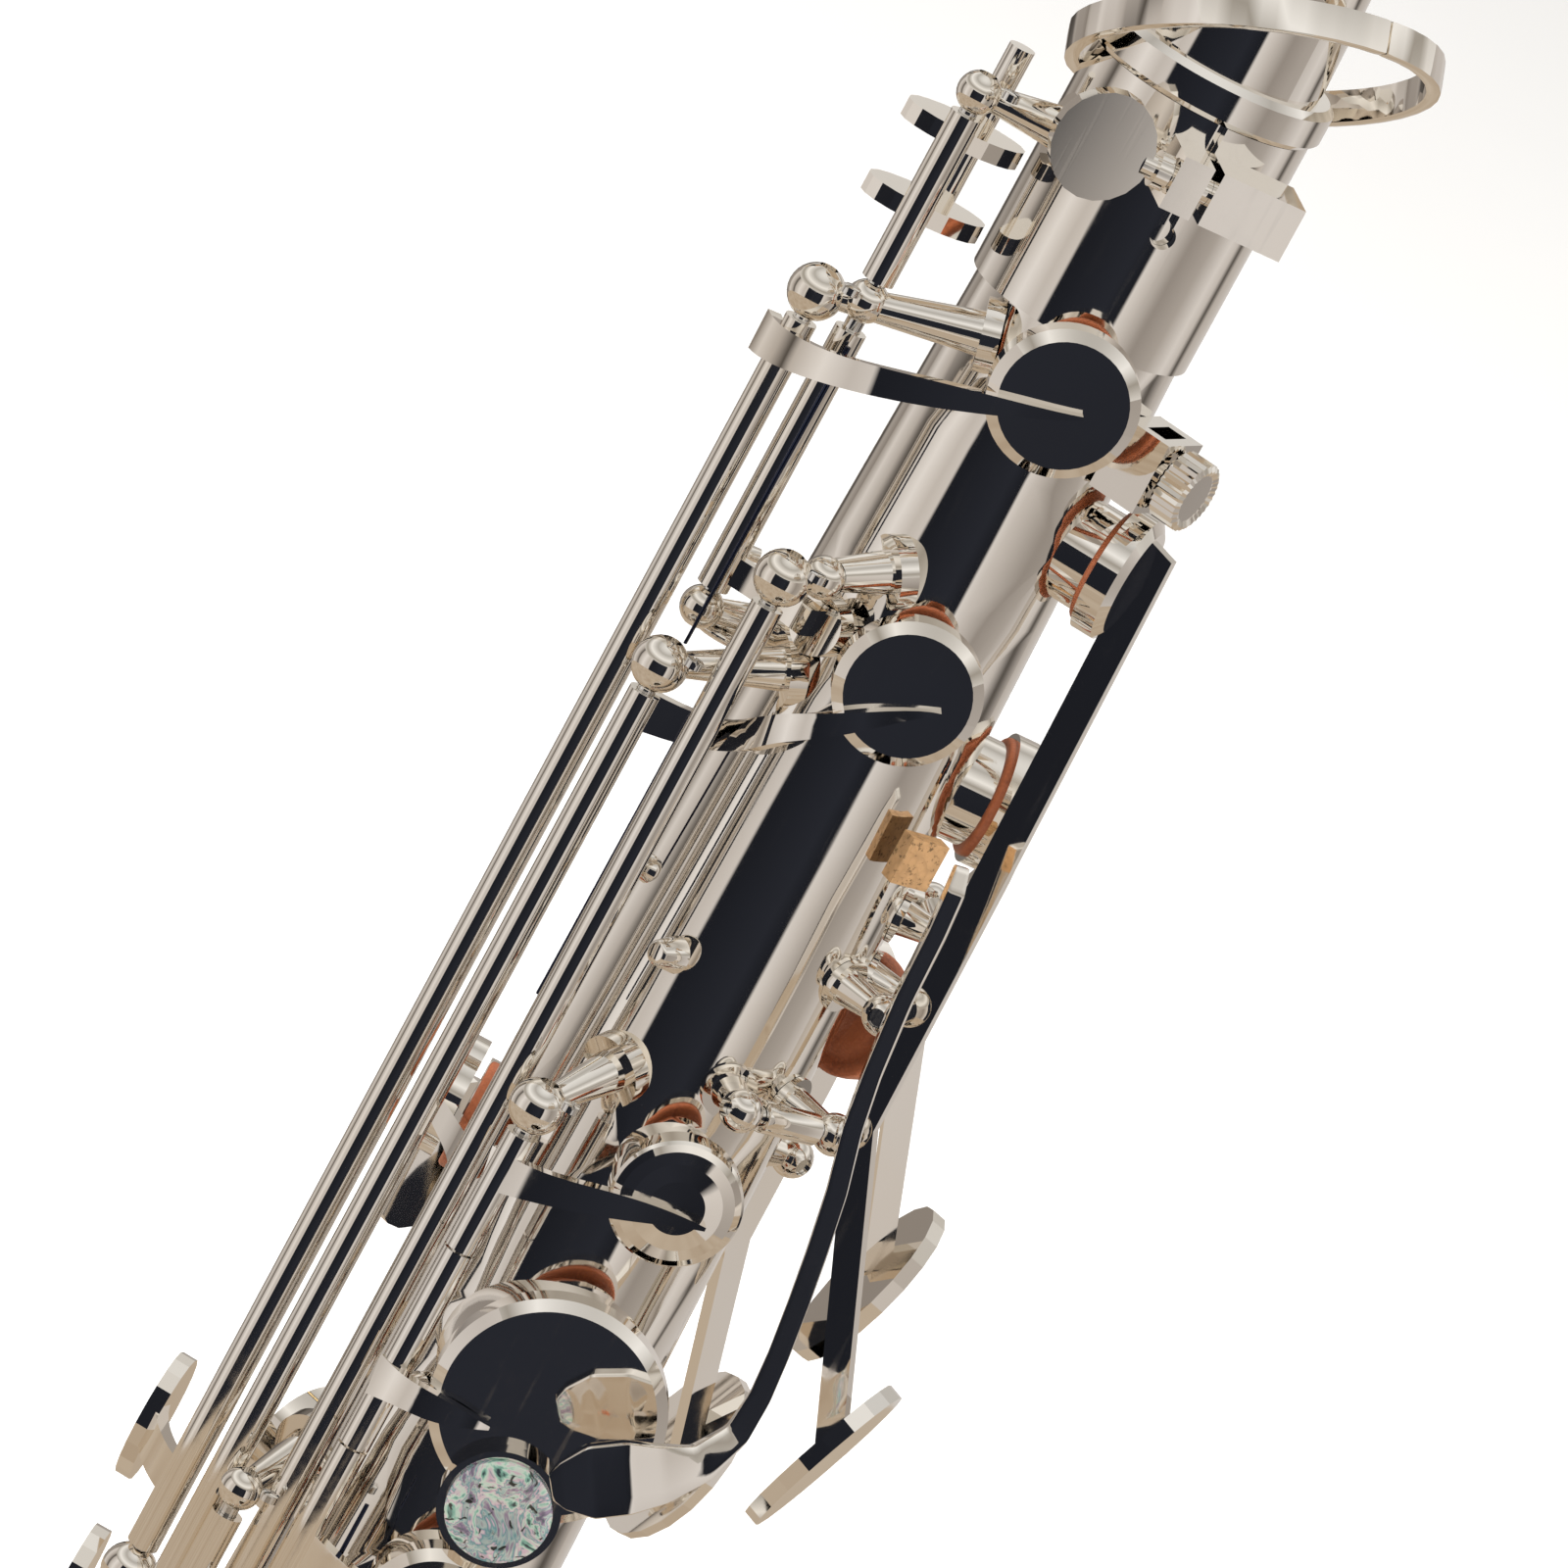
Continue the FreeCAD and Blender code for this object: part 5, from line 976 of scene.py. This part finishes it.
class SAX_OT_guides(bpy.types.Operator):
    """Makes the half-moon guides that steady the long side rods"""

    bl_idname = "sax.guides"
    bl_label = "Rod guides"

    def execute(self, context):
        for number, (azimuth, distance, height) in enumerate(GUIDES, start=1):
            deselect()
            bpy.ops.mesh.primitive_torus_add(major_radius=4.4 * MM, minor_radius=1.5 * MM,
                                             major_segments=56, minor_segments=16)
            guide = named(f"rod_guide_{number}")
            edit()
            bpy.ops.mesh.select_all(action="SELECT")
            bpy.ops.mesh.bisect(plane_co=(0.0, 0.0, 0.0), plane_no=(1.0, 0.2, 0.0), clear_outer=True,
                                use_fill=True)
            bpy.ops.mesh.select_all(action="SELECT")
            bpy.ops.transform.resize(value=(1.0, 1.0, 0.55))
            leave_edit()
            smooth(guide, 40.0)
            settle(guide, lined_up(on_tube(azimuth, distance, height), UP, -outward(azimuth)))
            finish_piece(guide, "silver_keys", "body")
            foot_distance = tube_radius(height) - 0.3
            deselect()
            bpy.ops.mesh.primitive_cone_add(vertices=36, radius1=2.6 * MM, radius2=1.2 * MM,
                                            depth=(distance - foot_distance) * MM, end_fill_type="NGON")
            stalk = named(f"rod_guide_stalk_{number}")
            bevelled(stalk, 0.2 * MM, 2)
            smooth(stalk)
            middle = on_tube(azimuth, (distance + foot_distance) / 2, height)
            settle(stalk, lined_up(middle, outward(azimuth)))
            finish_piece(stalk, "silver_keys", "body")
        return {"FINISHED"}


# ------------------------------------------------------------------ bent bars

def swept_bar(name, stations, crease=0.75, levels=2):
    """A flat bar extruded through stations of (middle, outward direction, width, depth)."""
    frames = []
    count = len(stations)
    for number, (middle, out, width, depth) in enumerate(stations):
        before = stations[max(number - 1, 0)][0]
        after = stations[min(number + 1, count - 1)][0]
        way = (after - before).normalized()
        side = way.cross(out).normalized()
        frames.append((middle, side, side.cross(way).normalized(), width / 2, depth / 2))
    deselect()
    bpy.ops.mesh.primitive_plane_add(size=1.0)
    bar = named(name)
    edit("VERT")
    last = (Vector((0.0, 0.0, 0.0)), Vector((1.0, 0.0, 0.0)), Vector((0.0, 1.0, 0.0)))
    for number, (middle, side, out, half_width, half_depth) in enumerate(frames):
        if number:
            bpy.ops.mesh.extrude_region_move()
        shape = bmesh.from_edit_mesh(bar.data)
        for vertex in [v for v in shape.verts if v.select]:
            offset = vertex.co - last[0]
            right = 1.0 if offset.dot(last[1]) > 0 else -1.0
            top = 1.0 if offset.dot(last[2]) > 0 else -1.0
            vertex.co = middle + side * right * half_width + out * top * half_depth
        bmesh.update_edit_mesh(bar.data)
        last = (middle, side, out)
    bpy.ops.mesh.select_all(action="SELECT")
    bpy.ops.mesh.normals_make_consistent(inside=False)
    bpy.ops.transform.edge_crease(value=crease)
    leave_edit()
    round_off = bar.modifiers.new("Rounding", "SUBSURF")
    round_off.levels = levels
    round_off.render_levels = levels
    bpy.ops.object.modifier_apply(modifier="Rounding")
    smooth(bar, 40.0)
    return bar


# The front F lever: azimuth, distance, height, width of the outer edge and depth, all but the first in mm.
LEVER = (
    (33.0, 19.6, 388.0, 1.6, 2.6), (32.4, 20.6, 385.0, 2.2, 3.4), (31.6, 21.4, 380.0, 2.2, 3.6),
    (29.8, 22.4, 372.0, 2.2, 3.6), (31.4, 23.2, 362.0, 2.2, 3.6), (31.8, 24.6, 355.0, 2.4, 3.8),
    (32.0, 27.0, 348.0, 2.5, 3.6), (31.0, 29.2, 341.0, 2.5, 3.6), (29.6, 31.2, 335.0, 2.5, 3.6),
    (28.4, 33.0, 329.0, 2.5, 3.6), (27.4, 34.2, 324.0, 2.6, 3.6), (25.6, 34.9, 319.0, 2.9, 3.2),
    (20.5, 35.3, 314.6, 4.4, 2.8), (14.0, 35.3, 312.0, 6.8, 2.5), (8.0, 35.2, 310.2, 8.6, 2.4),
    (2.0, 35.0, 308.0, 8.6, 2.3), (-2.4, 34.8, 306.2, 5.6, 2.1), (-4.2, 34.7, 305.4, 3.0, 1.9),
)
LEVER_FACING = (-6.0, -24.0)


class SAX_OT_lever(bpy.types.Operator):
    """Makes the front F lever: a bar on edge that curls into a teardrop touch, on its cross hinge"""

    bl_idname = "sax.lever"
    bl_label = "Front F lever"

    def execute(self, context):
        stations = []
        for number, (azimuth, distance, height, width, depth) in enumerate(LEVER):
            share = number / (len(LEVER) - 1)
            facing = LEVER_FACING[0] * (1 - share) + LEVER_FACING[1] * share
            out = outward(facing)
            stations.append((on_tube(azimuth, distance, height), out, width * MM, depth * MM))
        lever = swept_bar("front_f_lever", stations, 0.6, 3)
        joint = JOINTS["key_front_f_turn"]
        axis = Vector(joint["axis"]).normalized()
        pivot = Vector(joint["pos_m"])
        deselect()
        bpy.ops.mesh.primitive_cylinder_add(vertices=48, radius=1.95 * MM, depth=8.0 * MM,
                                            end_fill_type="NGON")
        tube = named("front_f_tube")
        edit()
        for side in (1.0, -1.0):
            choose_faces(tube, lambda face: face.normal.z * side > 0.9)
            bpy.ops.mesh.inset(thickness=0.75 * MM, depth=0.0)
            bpy.ops.mesh.delete(type="FACE")
        leave_edit()
        bevelled(tube, 0.15 * MM, 2)
        smooth(tube)
        settle(tube, lined_up(pivot + axis * 3.1 * MM, axis))
        finish_piece(tube, "silver_keys", "key_front_f")
        finish_piece(lever, "silver_keys", "key_front_f", "key_front_f")
        return {"FINISHED"}


# The neck octave key's hoop: sizes in mm, angles in degrees.
HOOP = {"height": 279.5, "high side": 20.0, "lean": 33.0, "length": 46.0, "breadth": 38.0, "width": 4.0,
        "thickness": 1.7}


class SAX_OT_loop(bpy.types.Operator):
    """Makes the neck octave key's hoop, a strip on edge that leans round the foot of the neck"""

    bl_idname = "sax.loop"
    bl_label = "Octave hoop"

    def execute(self, context):
        high = outward(HOOP["high side"])
        across = sideways(HOOP["high side"])
        slope = math.radians(HOOP["lean"])
        stations = []
        count = 40
        for number in range(count + 1):
            angle = 2 * math.pi * number / count
            along = HOOP["length"] / 2 * math.cos(angle)
            beside = HOOP["breadth"] / 2 * math.sin(angle)
            middle = Vector((TUBE_AXIS.x, TUBE_AXIS.y, HOOP["height"] * MM))
            middle += (high * along * math.cos(slope) + UP * along * math.sin(slope) + across * beside) * MM
            level = (high * along * HOOP["breadth"] / HOOP["length"] * math.cos(slope)
                     + UP * along * HOOP["breadth"] / HOOP["length"] * math.sin(slope)
                     + across * beside * HOOP["length"] / HOOP["breadth"]).normalized()
            stations.append((middle, level, HOOP["width"] * MM, HOOP["thickness"] * MM))
        hoop = swept_bar("octave_hoop", stations, 0.8, 2)
        finish_piece(hoop, "silver_keys", "neck_octave_key", "neck_octave_key")
        return {"FINISHED"}


# ------------------------------------------------------------------ stage

def soft_box(name, place, towards, width, height, power, colour=(1.0, 1.0, 1.0)):
    light = bpy.data.lights.new(name, "AREA")
    light.shape = "RECTANGLE"
    light.size = width
    light.size_y = height
    light.energy = power
    light.color = colour
    lamp = bpy.data.objects.new(name, light)
    bpy.context.scene.collection.objects.link(lamp)
    lamp.location = place
    lamp.rotation_mode = "QUATERNION"
    lamp.rotation_quaternion = (towards - place).to_track_quat("-Z", "Y")
    lamp.visible_camera = False
    lamp.visible_glossy = False
    return lamp


def towards_view(azimuth, elevation):
    """The direction from the object to a camera on that side."""
    flat = math.cos(elevation)
    return Vector((math.sin(azimuth) * flat, -math.cos(azimuth) * flat, math.sin(elevation)))


def colour_steps(tree, value, stops):
    ramp = tree.nodes.new("ShaderNodeValToRGB")
    while len(ramp.color_ramp.elements) > 1:
        ramp.color_ramp.elements.remove(ramp.color_ramp.elements[-1])
    for number, (position, colour) in enumerate(stops):
        if number == 0:
            element = ramp.color_ramp.elements[0]
            element.position = position
        else:
            element = ramp.color_ramp.elements.new(position)
        element.color = (*colour, 1.0)
    tree.links.new(value, ramp.inputs["Fac"])
    return ramp.outputs["Color"]


# What the plating mirrors all round: azimuth from the bell side, and how bright the screen is there.
SCREEN = (
    (-180.0, 0.42), (-168.0, 0.80), (-150.0, 0.55), (-138.0, 0.10), (-131.0, 0.60), (-110.0, 0.92),
    (-92.0, 0.66), (-81.0, 0.74), (-79.0, 0.014), (-30.0, 0.024), (-15.0, 0.014), (-13.0, 0.82),
    (-2.0, 0.66), (16.0, 0.36), (40.0, 0.48), (62.0, 0.80), (74.0, 0.66), (82.0, 0.08),
    (90.0, 0.56), (120.0, 0.74), (140.0, 0.36), (152.0, 0.05), (164.0, 0.44), (180.0, 0.30),
)


def tinted(light):
    """Cloth is warm where it is pale and a little blue where it is dark."""
    if light < 0.05:
        return (light, light * 1.1, light * 1.5)
    return (light, light * (0.85 + 0.11 * light), light * (0.72 + 0.21 * light))


def reflector(view, floor_height):
    """A round screen of dark and pale cloth that only the plating mirrors."""
    deselect()
    top = view.screen_top
    bpy.ops.mesh.primitive_cylinder_add(vertices=128, radius=view.screen_radius, depth=top - floor_height,
                                        end_fill_type="NOTHING",
                                        location=(TUBE_AXIS.x, TUBE_AXIS.y, (top + floor_height) / 2))
    screen = named("reflector")
    bpy.ops.object.transform_apply(location=True, rotation=True, scale=True)
    material, tree, shader = new_material("reflector_cloth")
    coordinates = tree.nodes.new("ShaderNodeTexCoord")
    parts = tree.nodes.new("ShaderNodeSeparateXYZ")
    tree.links.new(coordinates.outputs["Object"], parts.inputs["Vector"])
    across = math_node(tree, "SUBTRACT", parts.outputs["X"], TUBE_AXIS.x)
    ahead = math_node(tree, "SUBTRACT", TUBE_AXIS.y, parts.outputs["Y"])
    turn = math_node(tree, "ARCTAN2", across, ahead)
    share = steps(tree, turn, -math.pi, math.pi)
    stops = [((azimuth + 180.0) / 360.0, tinted(light)) for azimuth, light in SCREEN]
    tree.links.new(colour_steps(tree, share, stops), shader.inputs["Emission Color"])
    shader.inputs["Emission Strength"].default_value = view.screen_light
    shader.inputs["Base Color"].default_value = (0.0, 0.0, 0.0, 1.0)
    shader.inputs["Specular IOR Level"].default_value = 0.0
    screen.data.materials.append(material)
    screen.visible_camera = False
    screen.visible_shadow = False
    screen.visible_diffuse = False
    return screen


def low_card(view, floor_height):
    """A round warm grey card on the floor that only the plating mirrors."""
    deselect()
    bpy.ops.mesh.primitive_circle_add(vertices=96, radius=view.screen_radius, fill_type="NGON",
                                      location=(TUBE_AXIS.x, TUBE_AXIS.y, floor_height + 0.002))
    card = named("low_card")
    bpy.ops.object.transform_apply(location=True, rotation=True, scale=True)
    material, tree, shader = new_material("low_card_cloth")
    mottle = noise(tree, object_point(tree), 7.0, 2.0)
    tree.links.new(blend_colours(tree, mottle, (0.42, 0.31, 0.21), (0.72, 0.62, 0.50)),
                   shader.inputs["Emission Color"])
    shader.inputs["Emission Strength"].default_value = view.screen_light
    shader.inputs["Base Color"].default_value = (0.0, 0.0, 0.0, 1.0)
    shader.inputs["Specular IOR Level"].default_value = 0.0
    card.data.materials.append(material)
    card.visible_camera = False
    card.visible_shadow = False
    card.visible_diffuse = False
    return card


class SAX_OT_stage(bpy.types.Operator):
    """Sets the floor, the studio light and the camera"""

    bl_idname = "sax.stage"
    bl_label = "Stage"

    def execute(self, context):
        view = context.scene.sax_stage
        floor_height = CAD_BOX[0][2]
        deselect()
        bpy.ops.mesh.primitive_plane_add(size=40.0, location=(0.0, 0.0, floor_height))
        floor = named("floor")
        material, tree, shader = new_material("pale_floor")
        mottle = noise(tree, object_point(tree), 3.0, 2.0)
        tree.links.new(blend_colours(tree, mottle, (0.93, 0.93, 0.93), (0.90, 0.90, 0.90)),
                       shader.inputs["Base Color"])
        shader.inputs["Roughness"].default_value = 0.9
        shader.inputs["Specular IOR Level"].default_value = 0.1
        floor.data.materials.append(material)
        middle = Vector(view.target)
        reflector(view, floor_height)
        low_card(view, floor_height)
        world = bpy.data.worlds.new("studio")
        world.use_nodes = True
        tree = world.node_tree
        coordinates = tree.nodes.new("ShaderNodeTexCoord")
        parts = tree.nodes.new("ShaderNodeSeparateXYZ")
        tree.links.new(coordinates.outputs["Generated"], parts.inputs["Vector"])
        height = steps(tree, parts.outputs["Z"], -1.0, 1.0)
        sky = colour_steps(tree, height, (
            (0.0, (0.42, 0.42, 0.42)), (0.5, (0.40, 0.38, 0.35)), (0.58, (0.80, 0.77, 0.73)),
            (0.70, (0.36, 0.33, 0.29)), (0.80, (0.90, 0.88, 0.85)), (0.92, (0.46, 0.44, 0.41)),
            (1.0, (0.80, 0.79, 0.77))))
        tree.links.new(sky, tree.nodes["Background"].inputs["Color"])
        tree.nodes["Background"].inputs["Strength"].default_value = view.surroundings
        context.scene.world = world
        soft_box("top_light", middle + Vector((0.2, -0.4, 2.6)), middle, 3.0, 3.0, view.power)
        soft_box("left_light", middle + towards_view(math.radians(-125.0), 0.35) * 2.4, middle, 1.2, 2.2,
                 view.power * 0.4)
        soft_box("right_light", middle + towards_view(math.radians(32.0), 0.3) * 2.6, middle, 1.0, 2.2,
                 view.power * 0.35)
        context.scene.view_settings.view_transform = "Standard"
        back = towards_view(view.azimuth, view.elevation)
        data = bpy.data.cameras.new("photo_camera")
        data.sensor_width = 36.0
        data.lens = view.lens
        data.clip_start = 0.01
        data.clip_end = 100.0
        camera = bpy.data.objects.new("photo_camera", data)
        context.scene.collection.objects.link(camera)
        camera.rotation_mode = "QUATERNION"
        camera.location = middle + back * (view.width * view.lens / data.sensor_width)
        upright = (-back).to_track_quat("-Z", "Y")
        camera.rotation_quaternion = upright @ Matrix.Rotation(view.roll, 3, "Z").to_quaternion()
        context.scene.camera = camera
        return {"FINISHED"}


# ------------------------------------------------------------------ panel and run

class SAX_PT_panel(bpy.types.Panel):
    """Saxophone pieces"""

    bl_idname = "SAX_PT_panel"
    bl_label = "Saxophone"
    bl_space_type = "VIEW_3D"
    bl_region_type = "UI"
    bl_category = "Saxophone"

    def draw(self, context):
        layout = self.layout
        for name in SETTINGS:
            settings = getattr(context.scene, name)
            box = layout.box()
            for key in settings.__annotations__:
                box.prop(settings, key)
        for operator in OPERATORS:
            layout.operator(operator.bl_idname)


OPERATORS = (
    SAX_OT_finishes, SAX_OT_pads, SAX_OT_pearls, SAX_OT_springs, SAX_OT_screws,
    SAX_OT_knobs, SAX_OT_guides, SAX_OT_lever, SAX_OT_loop, SAX_OT_stage,
)
SETTINGS = {
    "sax_finish": SaxFinishSettings,
    "sax_pads": SaxPadSettings,
    "sax_pearls": SaxPearlSettings,
    "sax_springs": SaxSpringSettings,
    "sax_stage": SaxStageSettings,
}
CLASSES = tuple(SETTINGS.values()) + OPERATORS + (SAX_PT_panel,)


def register():
    for cls in CLASSES:
        bpy.utils.register_class(cls)
    for name, settings in SETTINGS.items():
        setattr(bpy.types.Scene, name, bpy.props.PointerProperty(type=settings))


def unregister():
    for name in SETTINGS:
        delattr(bpy.types.Scene, name)
    for cls in reversed(CLASSES):
        bpy.utils.unregister_class(cls)


def main():
    register()
    for operator in OPERATORS:
        group, name = operator.bl_idname.split(".")
        getattr(getattr(bpy.ops, group), name)()


if __name__ == "__main__":
    main()
